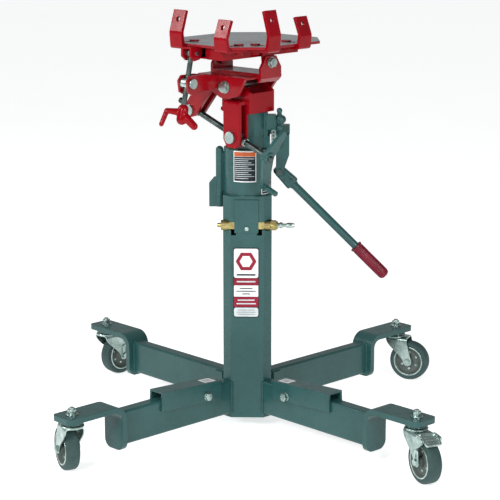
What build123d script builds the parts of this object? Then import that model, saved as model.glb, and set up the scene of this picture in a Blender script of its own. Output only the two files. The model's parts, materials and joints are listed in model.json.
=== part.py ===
from build123d import *
import math
import os

# Two-stage transmission jack: a caster base, an air-raised hydraulic unit with a hand pump,
# and a tilting head with four adjustable forks. Millimetres, +Z up. The origin is on the floor,
# below the middle of the column. The front of the jack faces -Y.

os.makedirs("parts", exist_ok=True)

# ---- driving dimensions: base ----
FLOOR_GAP = 29.0            # floor to the bottom of the column
COLUMN_ACROSS = 113.0       # across the flats
COLUMN_CUT = 18.0           # corner chamfer
COLUMN_WALL = 5.0
COLUMN_TOP = 556.0
SWIVEL_REACH = 533.0        # column axis to a caster's swivel axis, along the diagonal
LEG_WIDTH = 32.0
LEG_LOW = 40.0
LEG_HIGH = 120.0
LEG_END = 403.0
LEG_START = 67.4
LEG_WALL = 3.5
BOLT_REACH = 152.0          # through bolt of a front leg, out from the column axis
BOLT_Z = 102.0
BRACKET_THICK = 12.7
BRACKET_WIDTH = 64.0
ARM_LOW = 126.3             # underside of a caster bracket's arm
WHEEL_RADIUS = 50.8
WHEEL_WIDTH = 32.0
TRAIL = 40.0
CORNERS = {"front_left": 225.0, "front_right": 315.0, "rear_left": 135.0, "rear_right": 45.0}
TRAIL_ANGLE = {"front_left": 115.0, "front_right": -64.0, "rear_left": 45.0, "rear_right": -22.0}
BRAKED = ("front_right", "rear_left")

# ---- driving dimensions: lift ----
SLEEVE_RADIUS = 55.5
SLEEVE_TOP = 671.0
AIR_BORE = 48.0
CYLINDER_RADIUS = 38.0
CYLINDER_BORE = 32.0
RAM_RADIUS = 25.0
FIT = 0.06                  # radial running clearance
CLEAR_RADIUS = 45.0         # what stays inside the swinging clevis
BLOCK_LOW = 700.0
BLOCK_HIGH = 755.0
VALVE_Y = -45.0
VALVE_Z = 494.0

# ---- driving dimensions: pump ----
PUMP_X = 84.0
PUMP_Y = 20.0
PIVOT_X = 74.0
PIVOT_Z = 612.0
HANDLE_ANGLE = -45.0        # the handle's slope at rest

# ---- driving dimensions: head, in its own axes, turned about Z by HEAD_YAW ----
HEAD_YAW = -42.0
TILT_Z = 818.0              # height of the side-tilt axis, which runs front to back
PLATE_T = 8.0
FRONT_PLATE = -76.0         # front face of the saddle and of the clevis strap
INNER_PLATE = -50.0         # front face of the yoke's upright
YOKE_BACK = 34.0            # back face of the yoke's rear upright
YOKE_RIGHT = 52.0
STRAP_TOP = 787.0           # top of the clevis strap
SCREW_Y = -59.0
CLEVIS_X = 20.0
CLEVIS_Z = 704.0
ARM_X = -114.0
ARM_Z = 754.0
SCREW_RADIUS = 7.5
NOD_Z = 874.0               # height of the fore-and-aft tilt axis, which runs left to right
CRADLE_LEFT = -86.0         # outer faces of the cradle's ears
CRADLE_RIGHT = 74.0
CRADLE_HALF = 34.0
TABLE_LOW = 914.0
TABLE_T = 6.0
TABLE_HALF = 152.0          # middle to the front, back and left edges
TABLE_RIGHT = 140.0         # middle to the right edge
TABLE_CUT = 60.0
LIFT_X = -32.0              # the vertical screw that nods the table
LIFT_TOP_Y = -150.0
LIFT_TOP_Z = 899.0
LIFT_NUT_Y = -165.0
LIFT_NUT_Z = 832.0
LIFT_RADIUS = 6.5
FORK_WIDTH = 38.0
FOOT = 58.0                 # how far a fork reaches under the table
FORKS = {"fork_1": (-70.0, 0.0), "fork_2": (70.0, 0.0), "fork_3": (-72.0, 90.0), "fork_4": (31.0, 90.0)}
FORK_RISE = {"fork_1": 74.0, "fork_2": 60.0, "fork_3": 80.0, "fork_4": 60.0}


def box(x0, x1, y0, y1, z0, z1):
    """A box between two corners."""
    middle = ((x0 + x1) / 2, (y0 + y1) / 2, (z0 + z1) / 2)
    return Pos(*middle) * Box(abs(x1 - x0), abs(y1 - y0), abs(z1 - z0))


def rod(start, end, radius):
    """A round bar from one point to another."""
    a = Vector(*start)
    b = Vector(*end)
    plane = Plane(origin=a, z_dir=(b - a))
    return plane * Cylinder(radius, (b - a).length, align=(Align.CENTER, Align.CENTER, Align.MIN))


def hexagon(start, end, across):
    """A six-sided bar from one point to another."""
    a = Vector(*start)
    b = Vector(*end)
    plane = Plane(origin=a, z_dir=(b - a))
    return extrude(plane * RegularPolygon(across / 2, 6, major_radius=False), (b - a).length)


def tube(start, end, radius, bore):
    """A round tube from one point to another."""
    return rod(start, end, radius) - rod(start, end, bore)


def sheet_y(points, y0, y1):
    """A plate that faces along Y, from its outline of (x, z) points."""
    face = make_face(Polyline(*[(x, y0, z) for x, z in points], close=True))
    return extrude(face, y1 - y0, dir=(0, 1, 0))


def sheet_x(points, x0, x1):
    """A plate that faces along X, from its outline of (y, z) points."""
    face = make_face(Polyline(*[(x0, y, z) for y, z in points], close=True))
    return extrude(face, x1 - x0, dir=(1, 0, 0))


def write(node, shape):
    """Save one node."""
    solids = shape.solids() if hasattr(shape, "solids") else shape
    export_step(Compound(children=list(solids)) if len(solids) > 1 else solids[0], f"parts/{node}.step")


def write_head(node, shape):
    """Save one node of the head, turned to the head's yaw."""
    write(node, Rot(0, 0, HEAD_YAW) * shape)


def gather(shapes):
    """Several separate solids as one compound."""
    solids = []
    for shape in shapes:
        solids.extend(shape.solids())
    return Compound(children=solids)


# ---- base ----

def octagon_prism(across, cut, low, high):
    half = across / 2
    inner = half - cut
    points = [(half, -inner), (half, inner), (inner, half), (-inner, half),
              (-half, inner), (-half, -inner), (-inner, -half), (inner, -half)]
    face = make_face(Polyline(*[(x, y, low) for x, y in points], close=True))
    return extrude(face, high - low, dir=(0, 0, 1))


def column():
    body = octagon_prism(COLUMN_ACROSS, COLUMN_CUT, FLOOR_GAP, COLUMN_TOP)
    bore = octagon_prism(COLUMN_ACROSS - 2 * COLUMN_WALL, COLUMN_CUT - 2, FLOOR_GAP + 6, COLUMN_TOP + 1)
    window = box(-41.4, 40.4, -70, -50, VALVE_Z - 9.2, VALVE_Z + 9.2)
    window = window + box(-38, -26, -70, -50, 472, 488) + box(22.5, 34.5, -70, -50, 472, 488)
    for x in (-60, 60):
        window = window + rod((x / 2, VALVE_Y, VALVE_Z), (x, VALVE_Y, VALVE_Z), 12.9)
    return body - bore - window


def valve_panel():
    plate = box(-29.5, 26, -59.5, -56.6, 478, COLUMN_TOP)
    return plate - rod((-1, -70, 488), (-1, -50, 488), 2.6)


def panel_screw():
    head = rod((-1, -62, 488), (-1, -59.6, 488), 4.6)
    slot = box(-4, 2, -63, -61, 487.4, 488.6) + box(-1.6, -0.4, -63, -61, 485, 491)
    return (head - slot) + rod((-1, -59.6, 488), (-1, -53, 488), 2.5)


def leg():
    outer = box(LEG_START, LEG_END, -LEG_WIDTH / 2, LEG_WIDTH / 2, LEG_LOW, LEG_HIGH)
    outer = fillet(outer.edges().filter_by(Axis.X), 5.0)
    inner = box(LEG_START - 1, LEG_END + 1, -LEG_WIDTH / 2 + LEG_WALL, LEG_WIDTH / 2 - LEG_WALL,
                LEG_LOW + LEG_WALL, LEG_HIGH - LEG_WALL)
    return outer - inner


def caster_bracket():
    top = ARM_LOW + BRACKET_THICK
    bend = 33.0
    far = SWIVEL_REACH + BRACKET_WIDTH / 2
    low = LEG_LOW - 8
    half = BRACKET_WIDTH / 2
    outline = [(LEG_END + 0.2, low), (LEG_END + 0.2, top), (far, top), (far, ARM_LOW),
               (LEG_END + 0.2 + BRACKET_THICK, ARM_LOW), (LEG_END + 0.2 + BRACKET_THICK, low)]
    body = sheet_y(outline, -half, half)
    outer = body.edges().filter_by(Axis.Y).sort_by_distance((LEG_END + 0.2, 0, top))[0]
    body = fillet(outer, bend)
    inner = body.edges().filter_by(Axis.Y).sort_by_distance((LEG_END + 0.2 + BRACKET_THICK, 0, ARM_LOW))[0]
    body = fillet(inner, bend - BRACKET_THICK)
    ends = body.edges().filter_by(Axis.Z).sort_by(Axis.X)[-2:]
    body = fillet(ends, 12.0)
    feet = body.edges().filter_by(Axis.X).sort_by(Axis.Z)[:2]
    body = fillet(feet, 20.0)
    return body - rod((SWIVEL_REACH, 0, 100), (SWIVEL_REACH, 0, 160), 6.5)


def saddle_channel():
    """Inverted channel over the inner end of a front leg, a little higher at its outer end."""
    outer = box(112, 296, -22, 22, 84, 128)
    inner = box(100, 300, -17, 17, 70, 124)
    body = Pos(66, 0, 0) * Rot(0, -3.0, 0) * Pos(-66, 0, 0) * (outer - inner)
    return body - rod((BOLT_REACH, -30, BOLT_Z), (BOLT_REACH, 30, BOLT_Z), 5.0 + FIT)


def through_bolt():
    x = BOLT_REACH
    z = BOLT_Z
    bolt = rod((x, -30, z), (x, 30, z), 5.0)
    return bolt + hexagon((x, -34, z), (x, -22.5, z), 17) + hexagon((x, 22.5, z), (x, 32, z), 17)


def rear_cleat():
    """Welded cleats where a rear leg meets the column."""
    side = box(LEG_START, 93, 16.05, 21, LEG_LOW + 6, LEG_HIGH - 6)
    return gather([side, mirror(side, Plane.XZ)])


def write_base():
    write("column", column())
    write("valve_panel", valve_panel())
    write("panel_screw", panel_screw())
    channels = []
    bolts = []
    brackets = []
    for name, angle in CORNERS.items():
        turn = Rot(0, 0, angle)
        solid = leg()
        if name.startswith("front"):
            channels.append(turn * saddle_channel())
            bolts.append(turn * through_bolt())
            solid = solid - rod((BOLT_REACH, -30, BOLT_Z), (BOLT_REACH, 30, BOLT_Z), 5.0 + FIT)
            write("leg_" + name, turn * solid)
        else:
            write("leg_" + name, turn * gather([solid, rear_cleat()]))
        brackets.append(turn * caster_bracket())
    write("leg_saddle_channels", gather(channels))
    write("leg_through_bolts", gather(bolts))
    write("caster_brackets", gather(brackets))


# ---- casters ----

RACE_HIGH = ARM_LOW
CROWN_HIGH = 114.0


def stem():
    """Swivel stud with its lower head, washer and top nut."""
    stud = rod((0, 0, CROWN_HIGH - 7), (0, 0, 156), 6.0)
    head = rod((0, 0, CROWN_HIGH - 11), (0, 0, CROWN_HIGH - 6.4), 11)
    washer = tube((0, 0, 139.1), (0, 0, 141.4), 14, 5.5)
    nut = hexagon((0, 0, 141.4), (0, 0, 153), 19)
    race = tube((0, 0, 118.4), (0, 0, RACE_HIGH), 21, 5.5)
    return stud + head + washer + nut + race


def caster_fork():
    """Pressed fork: a round crown over two raked cheeks."""
    crown = tube((0, 0, CROWN_HIGH - 3), (0, 0, 118), 24, 6.3)
    crown = crown + (tube((0, 0, CROWN_HIGH - 6), (0, 0, CROWN_HIGH), 27, 12.0))
    top = box(-24, 40, -23, 23, CROWN_HIGH - 5, CROWN_HIGH - 1.5) - rod((0, 0, 100), (0, 0, 130), 12)
    outline = [(-22, CROWN_HIGH - 2), (38, CROWN_HIGH - 2), (TRAIL + 13, WHEEL_RADIUS + 4),
               (TRAIL + 9, WHEEL_RADIUS - 10), (TRAIL - 9, WHEEL_RADIUS - 10), (TRAIL - 16, WHEEL_RADIUS + 4),
               (-22, CROWN_HIGH - 16)]
    right = sheet_y(outline, 20, 23)
    left = sheet_y(outline, -23, -20)
    hole = rod((TRAIL, -30, WHEEL_RADIUS), (TRAIL, 30, WHEEL_RADIUS), 4.0)
    return (crown + top + right + left) - hole


def caster_axle():
    y = 23.0
    axle = rod((TRAIL, -y - 4, WHEEL_RADIUS), (TRAIL, y + 6, WHEEL_RADIUS), 4.0)
    head = hexagon((TRAIL, -y - 6, WHEEL_RADIUS), (TRAIL, -y, WHEEL_RADIUS), 14)
    nut = hexagon((TRAIL, y, WHEEL_RADIUS), (TRAIL, y + 7, WHEEL_RADIUS), 14)
    sleeve = tube((TRAIL, -19.8, WHEEL_RADIUS), (TRAIL, 19.8, WHEEL_RADIUS), 6.0, 4.0)
    return axle + head + nut + sleeve


def wheel_hub():
    start = (TRAIL, -WHEEL_WIDTH / 2, WHEEL_RADIUS)
    end = (TRAIL, WHEEL_WIDTH / 2, WHEEL_RADIUS)
    body = tube(start, end, 38, 6.0 + FIT)
    for side in (-1, 1):
        y = side * WHEEL_WIDTH / 2
        dish = tube((TRAIL, y, WHEEL_RADIUS), (TRAIL, y - side * 9, WHEEL_RADIUS), 31, 13)
        body = body - dish
    return body


def wheel_tyre():
    start = (TRAIL, -WHEEL_WIDTH / 2, WHEEL_RADIUS)
    end = (TRAIL, WHEEL_WIDTH / 2, WHEEL_RADIUS)
    solid = rod(start, end, WHEEL_RADIUS)
    solid = fillet(solid.edges().filter_by(GeomType.CIRCLE), 6.0)
    return solid - rod((TRAIL, -40, WHEEL_RADIUS), (TRAIL, 40, WHEEL_RADIUS), 38)


def brake_lever():
    """Foot tab and shoe over the tyre, hinged between the cheeks behind the wheel."""
    x = TRAIL + 26
    z = 103.0
    shoe = sheet_y([(x - 9, z - 1), (x - 6, z + 5), (x + 18, z - 5), (x + 34, z - 3), (x + 35, z - 7),
                    (x + 18, z - 10)], -16, 16)
    pivot = rod((x - 6, -26, z + 1), (x - 6, 26, z + 1), 3.0)
    ears = tube((x - 6, 23.4, z + 1), (x - 6, 25.5, z + 1), 7, 3.0)
    ears = gather([ears, mirror(ears, Plane.XZ)])
    return shoe + pivot + ears


def write_casters():
    stems = []
    for name, angle in CORNERS.items():
        radians = math.radians(angle)
        place = Pos(SWIVEL_REACH * math.cos(radians), SWIVEL_REACH * math.sin(radians), 0)
        turn = place * Rot(0, 0, TRAIL_ANGLE[name])
        stems.append(place * Rot(0, 0, angle) * stem())
        fork = caster_fork()
        if name in BRAKED:
            lug = [(TRAIL + 2, 80), (TRAIL - 6, 109), (TRAIL + 16, 112), (TRAIL + 27, 110), (TRAIL + 27, 98)]
            hole = rod((TRAIL + 20, -30, 104), (TRAIL + 20, 30, 104), 3.0 + FIT)
            fork = fork + sheet_y(lug, 20, 23) + sheet_y(lug, -23, -20) - hole
            write("brake_lever_" + name, turn * brake_lever())
        write("caster_fork_" + name, turn * gather([fork, caster_axle()]))
        write("caster_wheel_" + name, turn * gather([wheel_hub(), wheel_tyre()]))
    write("caster_stems", gather(stems))


# ---- lift ----

def sleeve():
    body = tube((0, 0, COLUMN_TOP), (0, 0, SLEEVE_TOP), SLEEVE_RADIUS, 51.1)
    skirt = octagon_prism(COLUMN_ACROSS, COLUMN_CUT, COLUMN_TOP, COLUMN_TOP + 8)
    skirt = skirt - rod((0, 0, 500), (0, 0, 600), 51.1)
    return body + skirt


def side_post():
    post = rod((-65.2, 0, 530), (-65.2, 0, 664), 9.2)
    post = post + Pos(-65.2, 0, 664) * Sphere(9.2)
    cut = rod((0, 0, 400), (0, 0, 700), SLEEVE_RADIUS)
    return post - cut - octagon_prism(COLUMN_ACROSS, COLUMN_CUT, 400, COLUMN_TOP + 8)


def side_fin():
    fin = sheet_y([(-90, 530), (-90, 586), (-78, 600), (-70, 600), (-70, 530)], -5, 5)
    return fin - rod((-65.2, 0, 500), (-65.2, 0, 700), 9.2)


def air_cylinder():
    return tube((0, 0, FLOOR_GAP + 6), (0, 0, 660), 51.0, AIR_BORE)


def air_gland():
    ring = tube((0, 0, 640), (0, 0, SLEEVE_TOP), AIR_BORE, CYLINDER_RADIUS + FIT)
    return ring


def air_piston():
    return rod((0, 0, 60), (0, 0, 84), AIR_BORE - FIT)


def hydraulic_cylinder():
    body = tube((0, 0, 84), (0, 0, BLOCK_LOW), CYLINDER_RADIUS, CYLINDER_BORE)
    return body + rod((0, 0, 84), (0, 0, 90), CYLINDER_RADIUS)


def cylinder_collar():
    """Band round the cylinder's top; it stays inside the clevis, which hangs in front of it."""
    low = SLEEVE_TOP + 0.6
    body = rod((0, 0, low), (0, 0, BLOCK_LOW), CLEAR_RADIUS) + box(5, 52, -24, 30, low, BLOCK_LOW)
    return body - rod((0, 0, low - 1), (0, 0, BLOCK_LOW + 1), CYLINDER_RADIUS)


def head_block():
    block = box(-6, 47, -24, 45, BLOCK_LOW, BLOCK_HIGH) + box(-45, 0, 0, 45, BLOCK_LOW, BLOCK_HIGH)
    block = block + rod((0, 0, BLOCK_LOW), (0, 0, BLOCK_HIGH), CLEAR_RADIUS)
    arm = box(44, 98, 6, 36, BLOCK_LOW, 720)
    valve = box(44, 66, -30, -6, 716, 750)
    bore = rod((0, 0, 690), (0, 0, 760), RAM_RADIUS + FIT)
    knob_bore = rod((45, -18, 738), (70, -18, 738), 5.06)
    return (block + arm + valve) - bore - knob_bore


def ram():
    body = rod((0, 0, 95), (0, 0, 756.7), RAM_RADIUS)
    return body + rod((0, 0, 756), (0, 0, 773), 18)


def ram_piston():
    return tube((0, 0, 96), (0, 0, 116), CYLINDER_BORE - FIT, RAM_RADIUS)


def release_knob():
    """Star knob with five lobes on the release valve's spindle."""
    plane = Plane(origin=(74, -18, 738), z_dir=(1, 0, 0))
    knob = Cylinder(13, 14)
    for i in range(5):
        lobe = math.radians(72 * i + 18)
        x = 21 * math.cos(lobe)
        y = 21 * math.sin(lobe)
        knob = knob + rod((0, 0, -6), (0, 0, 6), 8) + Pos(x, y, 0) * Cylinder(6.5, 13)
        knob = knob + Rot(0, 0, 72 * i + 18) * Pos(11, 0, 0) * Box(20, 9, 12)
    knob = plane * knob
    return knob + rod((47, -18, 738), (70, -18, 738), 5.0)


def write_lift():
    write("sleeve", sleeve())
    write("side_post", gather([side_post(), side_fin()]))
    write("air_cylinder", air_cylinder())
    write("air_gland", air_gland())
    write("air_piston", air_piston())
    write("hydraulic_cylinder", hydraulic_cylinder())
    write("cylinder_collar", cylinder_collar())
    write("head_block", head_block())
    write("lift_ram", ram())
    write("ram_piston", ram_piston())
    write("release_knob", release_knob())


def write_air_valve():
    left = rod((-61, VALVE_Y, VALVE_Z), (-40, VALVE_Y, VALVE_Z), 12.0)
    middle = box(-41, 40, -56.3, -51.3, VALVE_Z - 7, VALVE_Z + 9)
    right = rod((38.8, VALVE_Y, VALVE_Z), (53, VALVE_Y, VALVE_Z), 11.0)
    bore = rod((-62, VALVE_Y, VALVE_Z), (-45, VALVE_Y, VALVE_Z), 5.06)
    screw_hole = rod((-1, -60, 488), (-1, -50, 488), 2.5)
    write("air_valve", (left + middle + right) - bore - screw_hole)
    button = rod((-70, VALVE_Y, VALVE_Z), (-53, VALVE_Y, VALVE_Z), 5.0)
    write("air_valve_button", button)
    hexa = hexagon((53, VALVE_Y, VALVE_Z), (72, VALVE_Y, VALVE_Z), 22)
    nipple = rod((72, VALVE_Y, VALVE_Z), (84, VALVE_Y, VALVE_Z), 6.0)
    neck = rod((84, VALVE_Y, VALVE_Z), (92, VALVE_Y, VALVE_Z), 4.4)
    nose = rod((92, VALVE_Y, VALVE_Z), (110, VALVE_Y, VALVE_Z), 6.0)
    write("air_inlet_nut", hexa)
    write("air_nipple", nipple + neck + nose - rod((80, VALVE_Y, VALVE_Z), (112, VALVE_Y, VALVE_Z), 2.6))


# ---- pump ----

def handle_place():
    return Pos(PIVOT_X, PUMP_Y, PIVOT_Z) * Rot(0, -HANDLE_ANGLE, 0)


def write_pump():
    barrel = tube((PUMP_X, PUMP_Y, 648), (PUMP_X, PUMP_Y, BLOCK_LOW), 13, 7.0 + FIT)
    write("pump_barrel", barrel)
    cheek = [(66, 602), (66, 700), (97, 700), (97, 652), (83, 612), (80, 602)]
    cheeks = sheet_y(cheek, PUMP_Y - 20, PUMP_Y - 15) + sheet_y(cheek, PUMP_Y + 15, PUMP_Y + 20)
    cheeks = cheeks - rod((PIVOT_X, -20, PIVOT_Z), (PIVOT_X, 60, PIVOT_Z), 4.0)
    write("pump_bracket", gather([cheeks]))
    plunger = rod((PUMP_X, PUMP_Y, 630), (PUMP_X, PUMP_Y, 680), 7.0)
    write("pump_plunger", plunger)
    pin = rod((PIVOT_X, PUMP_Y - 23, PIVOT_Z), (PIVOT_X, PUMP_Y + 23, PIVOT_Z), 4.0)
    head = rod((PIVOT_X, PUMP_Y - 25, PIVOT_Z), (PIVOT_X, PUMP_Y - 20.2, PIVOT_Z), 6.5)
    write("pump_pivot_pin", pin + head)
    socket = box(-8, 42, -13, 13, -15, 15)
    socket = chamfer(socket.edges().filter_by(Axis.X), 3.0)
    socket = socket - rod((0, -30, 0), (0, 30, 0), 4.0 + FIT)
    bar = rod((10, 0, 0), (352, 0, 0), 9.5)
    write("pump_handle", handle_place() * (socket + bar))
    grip = tube((256, 0, 0), (356, 0, 0), 14, 9.5) + rod((352, 0, 0), (358, 0, 0), 14)
    write("handle_grip", handle_place() * grip)


# ---- head ----

def screw_point(distance):
    """A point along the side-tilt screw, measured from the clevis pin towards the arm."""
    length = math.hypot(ARM_X - CLEVIS_X, ARM_Z - CLEVIS_Z)
    ux = (ARM_X - CLEVIS_X) / length
    uz = (ARM_Z - CLEVIS_Z) / length
    return (CLEVIS_X + ux * distance, SCREW_Y, CLEVIS_Z + uz * distance)


def yoke():
    rear = YOKE_BACK - PLATE_T
    base = box(-46, YOKE_RIGHT, INNER_PLATE + PLATE_T, rear, 757, 765)
    upright = [(-34, 757), (-34, 800), (-14, 831), (14, 831), (YOKE_RIGHT, 806), (YOKE_RIGHT, 757)]
    leg_low = CLEVIS_Z - 24
    rear_leg = [(-5, 757), (45, 757), (45, leg_low + 18), (34, leg_low), (6, leg_low), (-5, leg_low + 18)]
    front = sheet_y(upright, INNER_PLATE, INNER_PLATE + PLATE_T)
    leg = sheet_y(rear_leg, INNER_PLATE, INNER_PLATE + 4.0)
    back = sheet_y(upright, rear, YOKE_BACK)
    side = box(YOKE_RIGHT - PLATE_T, YOKE_RIGHT, INNER_PLATE + PLATE_T, rear, 765, 804)
    body = base + front + leg + back + side
    body = body - rod((0, -90, TILT_Z), (0, 90, TILT_Z), 8.0)
    body = body - rod((CLEVIS_X, -90, CLEVIS_Z), (CLEVIS_X, 0, CLEVIS_Z), 9.0)
    return body - rod((0, 0, 750), (0, 0, 780), 18 + FIT)


def clevis_strap():
    """Strap that bends down in front of the yoke and carries the screw's trunnion."""
    low = CLEVIS_Z - 24
    top = STRAP_TOP
    outline = [(-5, top), (45, top), (45, low + 18), (34, low), (6, low), (-5, low + 18)]
    front = sheet_y(outline, FRONT_PLATE, FRONT_PLATE + PLATE_T)
    bridge = box(-5, 45, FRONT_PLATE, INNER_PLATE - 0.1, top - PLATE_T, top)
    body = front + bridge
    edge = body.edges().filter_by(Axis.X).sort_by_distance((20, FRONT_PLATE, top))[0]
    body = fillet(edge, 6.0)
    return body - rod((CLEVIS_X, -90, CLEVIS_Z), (CLEVIS_X, -60, CLEVIS_Z), 9.0)


def saddle():
    arm_end = [(-98, 741), (-112, 737), (-128, 746), (-130, 762), (-104, 800), (-84, 842)]
    front_points = [(-62, 842), (64, 842), (40, 800), (14, 792), (-14, 792), (-44, 806)] + arm_end
    front = sheet_y(front_points, FRONT_PLATE, FRONT_PLATE + PLATE_T)
    rear_arm = [(-50, 842), (-50, 800)] + arm_end
    inner = sheet_y(rear_arm, INNER_PLATE, INNER_PLATE + PLATE_T)
    rear = YOKE_BACK + 4
    back = sheet_y([(-62, 842), (64, 842), (30, 800), (-30, 800)], rear, rear + PLATE_T)
    top = box(-86, 64, FRONT_PLATE, rear + PLATE_T, 838, 843)
    gusset = sheet_y([(64, 843), (74, 843), (74, 838), (64, 828)], -CRADLE_HALF, CRADLE_HALF)
    body = front + inner + back + top + gusset
    body = body - rod((0, -90, TILT_Z), (0, 90, TILT_Z), 8.0 + FIT)
    return body - rod((ARM_X, -90, ARM_Z), (ARM_X, -30, ARM_Z), 8.0)


def saddle_fork():
    """Two cheeks that reach forward and hold the nut of the vertical screw."""
    y = LIFT_NUT_Y
    outline = [(-76, 843), (y + 34, 850), (y - 6, 850), (y - 16, 838), (y - 12, 812), (y, 806), (y + 34, 812),
               (-76, 815)]
    inner = sheet_x(outline, LIFT_X + 11, LIFT_X + 16)
    outer = sheet_x(outline, LIFT_X - 16, LIFT_X - 11)
    web = box(LIFT_X - 11, LIFT_X + 11, y + 32, -76, 838, 843)
    body = inner + outer + web
    return body - rod((LIFT_X - 40, LIFT_NUT_Y, LIFT_NUT_Z), (LIFT_X + 40, LIFT_NUT_Y, LIFT_NUT_Z), 6.0)


def cradle():
    """Flat base with two upturned ears that carry the fore-and-aft pivots."""
    half = CRADLE_HALF
    base = box(CRADLE_LEFT, CRADLE_RIGHT, -half, half, 843, 850)
    ear = [(-half, 843), (-half, 862), (-17, 888), (17, 888), (half, 862), (half, 843)]
    right = sheet_x(ear, CRADLE_RIGHT - 7, CRADLE_RIGHT)
    left = sheet_x(ear, CRADLE_LEFT, CRADLE_LEFT + 7)
    body = base + left + right
    return body - rod((-120, 0, NOD_Z), (120, 0, NOD_Z), 6.5)


def nod_pins():
    pins = []
    for side, face in ((-1, CRADLE_LEFT), (1, CRADLE_RIGHT)):
        pin = rod((face - side * 22, 0, NOD_Z), (face + side * 4, 0, NOD_Z), 6.5)
        head = hexagon((face + side * 0.2, 0, NOD_Z), (face + side * 9, 0, NOD_Z), 20)
        pins.append(pin + head)
    return gather(pins)


def tilt_bolt():
    rear = YOKE_BACK + 4 + PLATE_T
    bolt = rod((0, -80, TILT_Z), (0, rear + 8, TILT_Z), 8.0)
    head = hexagon((0, -86, TILT_Z), (0, FRONT_PLATE - 0.4, TILT_Z), 22)
    nut = hexagon((0, rear + 0.4, TILT_Z), (0, rear + 12, TILT_Z), 22)
    return bolt + head + nut


def side_trunnion():
    """Collar in the clevis that the side-tilt screw turns in."""
    lug = rod((CLEVIS_X, -82, CLEVIS_Z), (CLEVIS_X, -67, CLEVIS_Z), 9.0 - FIT)
    head = rod((CLEVIS_X, -84, CLEVIS_Z), (CLEVIS_X, FRONT_PLATE - 0.4, CLEVIS_Z), 14)
    barrel = rod((CLEVIS_X, -67.6, CLEVIS_Z), (CLEVIS_X, -50.4, CLEVIS_Z), 14)
    inner = rod((CLEVIS_X, -50.6, CLEVIS_Z), (CLEVIS_X, -46.2, CLEVIS_Z), 9.0 - FIT)
    body = lug + head + barrel + inner
    return body - rod(screw_point(-40), screw_point(40), SCREW_RADIUS + FIT)


def side_screw():
    return rod(screw_point(-120), screw_point(196), SCREW_RADIUS)


def side_crank():
    """Two-arm crank on the lower end of the side-tilt screw, with a peg on its lower arm."""
    length = math.hypot(ARM_X - CLEVIS_X, ARM_Z - CLEVIS_Z)
    along = Vector((CLEVIS_X - ARM_X) / length, 0, (CLEVIS_Z - ARM_Z) / length)
    hub = Vector(*screw_point(-102))
    plane = Plane(origin=hub, x_dir=(0, -1, 0), z_dir=along)
    body = Cylinder(14, 22) + Pos(0, 0, 2) * Rot(0, 0, 242) * (Pos(34, 0, 0) * Box(68, 14, 10))
    body = body + Pos(0, 0, 2) * Rot(0, 0, 104) * (Pos(42, 0, 0) * Box(84, 14, 10))
    body = body - Cylinder(SCREW_RADIUS, 60)
    peg = Rot(0, 0, 104) * Pos(77, 0, 22) * Cylinder(6, 40)
    return plane * (body + peg)


def arm_nut():
    """Threaded trunnion that the side-tilt screw runs through, in the saddle's arm."""
    lug = rod((ARM_X, -80, ARM_Z), (ARM_X, -67, ARM_Z), 8.0 - FIT)
    head = rod((ARM_X, -82, ARM_Z), (ARM_X, FRONT_PLATE - 0.4, ARM_Z), 13)
    barrel = rod((ARM_X, -67.6, ARM_Z), (ARM_X, -50.4, ARM_Z), 14)
    inner = rod((ARM_X, -51, ARM_Z), (ARM_X, -41, ARM_Z), 8.0 - FIT)
    return lug + head + barrel + inner - rod(screw_point(90), screw_point(190), SCREW_RADIUS + 2.4)


def lift_point(distance):
    """A point along the vertical screw, measured down from its top pin."""
    length = math.hypot(LIFT_NUT_Y - LIFT_TOP_Y, LIFT_NUT_Z - LIFT_TOP_Z)
    uy = (LIFT_NUT_Y - LIFT_TOP_Y) / length
    uz = (LIFT_NUT_Z - LIFT_TOP_Z) / length
    return (LIFT_X, LIFT_TOP_Y + uy * distance, LIFT_TOP_Z + uz * distance)


def lift_trunnion():
    """Eye on the top pin that the vertical screw hangs and turns in."""
    barrel = rod((LIFT_X - 9.6, LIFT_TOP_Y, LIFT_TOP_Z), (LIFT_X + 9.6, LIFT_TOP_Y, LIFT_TOP_Z), 9)
    pin = rod((LIFT_X - 18, LIFT_TOP_Y, LIFT_TOP_Z), (LIFT_X + 18, LIFT_TOP_Y, LIFT_TOP_Z), 5.0 - FIT)
    return barrel + pin - rod(lift_point(2), lift_point(30), LIFT_RADIUS + FIT)


def lift_screw():
    return rod(lift_point(2.4), lift_point(158), LIFT_RADIUS)


def lift_handle():
    """Cast handle with one cranked arm and one short arm, at the screw's lower end."""
    centre = Vector(*lift_point(141))
    top = Vector(*lift_point(0))
    plane = Plane(origin=centre, x_dir=(1, 0, 0), z_dir=top - centre)
    body = Cylinder(13, 28)
    body = body + Rot(0, 0, 222) * (Pos(20, 0, 3) * Rot(0, 8, 0) * Box(36, 12, 12))
    body = body + Rot(0, 0, 222) * (Pos(40, 0, -10) * Rot(0, 12, 0) * Box(10, 11, 36))
    body = body + Rot(0, 0, 30) * (Pos(19, 0, -8) * Rot(0, 38, 0) * Box(38, 13, 13))
    return plane * (body - Cylinder(LIFT_RADIUS, 90))


def lift_nut():
    """Round trunnion nut between the saddle fork's cheeks."""
    barrel = rod((LIFT_X - 10.6, LIFT_NUT_Y, LIFT_NUT_Z), (LIFT_X + 10.6, LIFT_NUT_Y, LIFT_NUT_Z), 13)
    pin = rod((LIFT_X - 20, LIFT_NUT_Y, LIFT_NUT_Z), (LIFT_X + 22, LIFT_NUT_Y, LIFT_NUT_Z), 6.0 - FIT)
    head = rod((LIFT_X + 16.4, LIFT_NUT_Y, LIFT_NUT_Z), (LIFT_X + 22, LIFT_NUT_Y, LIFT_NUT_Z), 11.5)
    return barrel + pin + head - rod(lift_point(40), lift_point(100), LIFT_RADIUS + 2.4)


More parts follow.
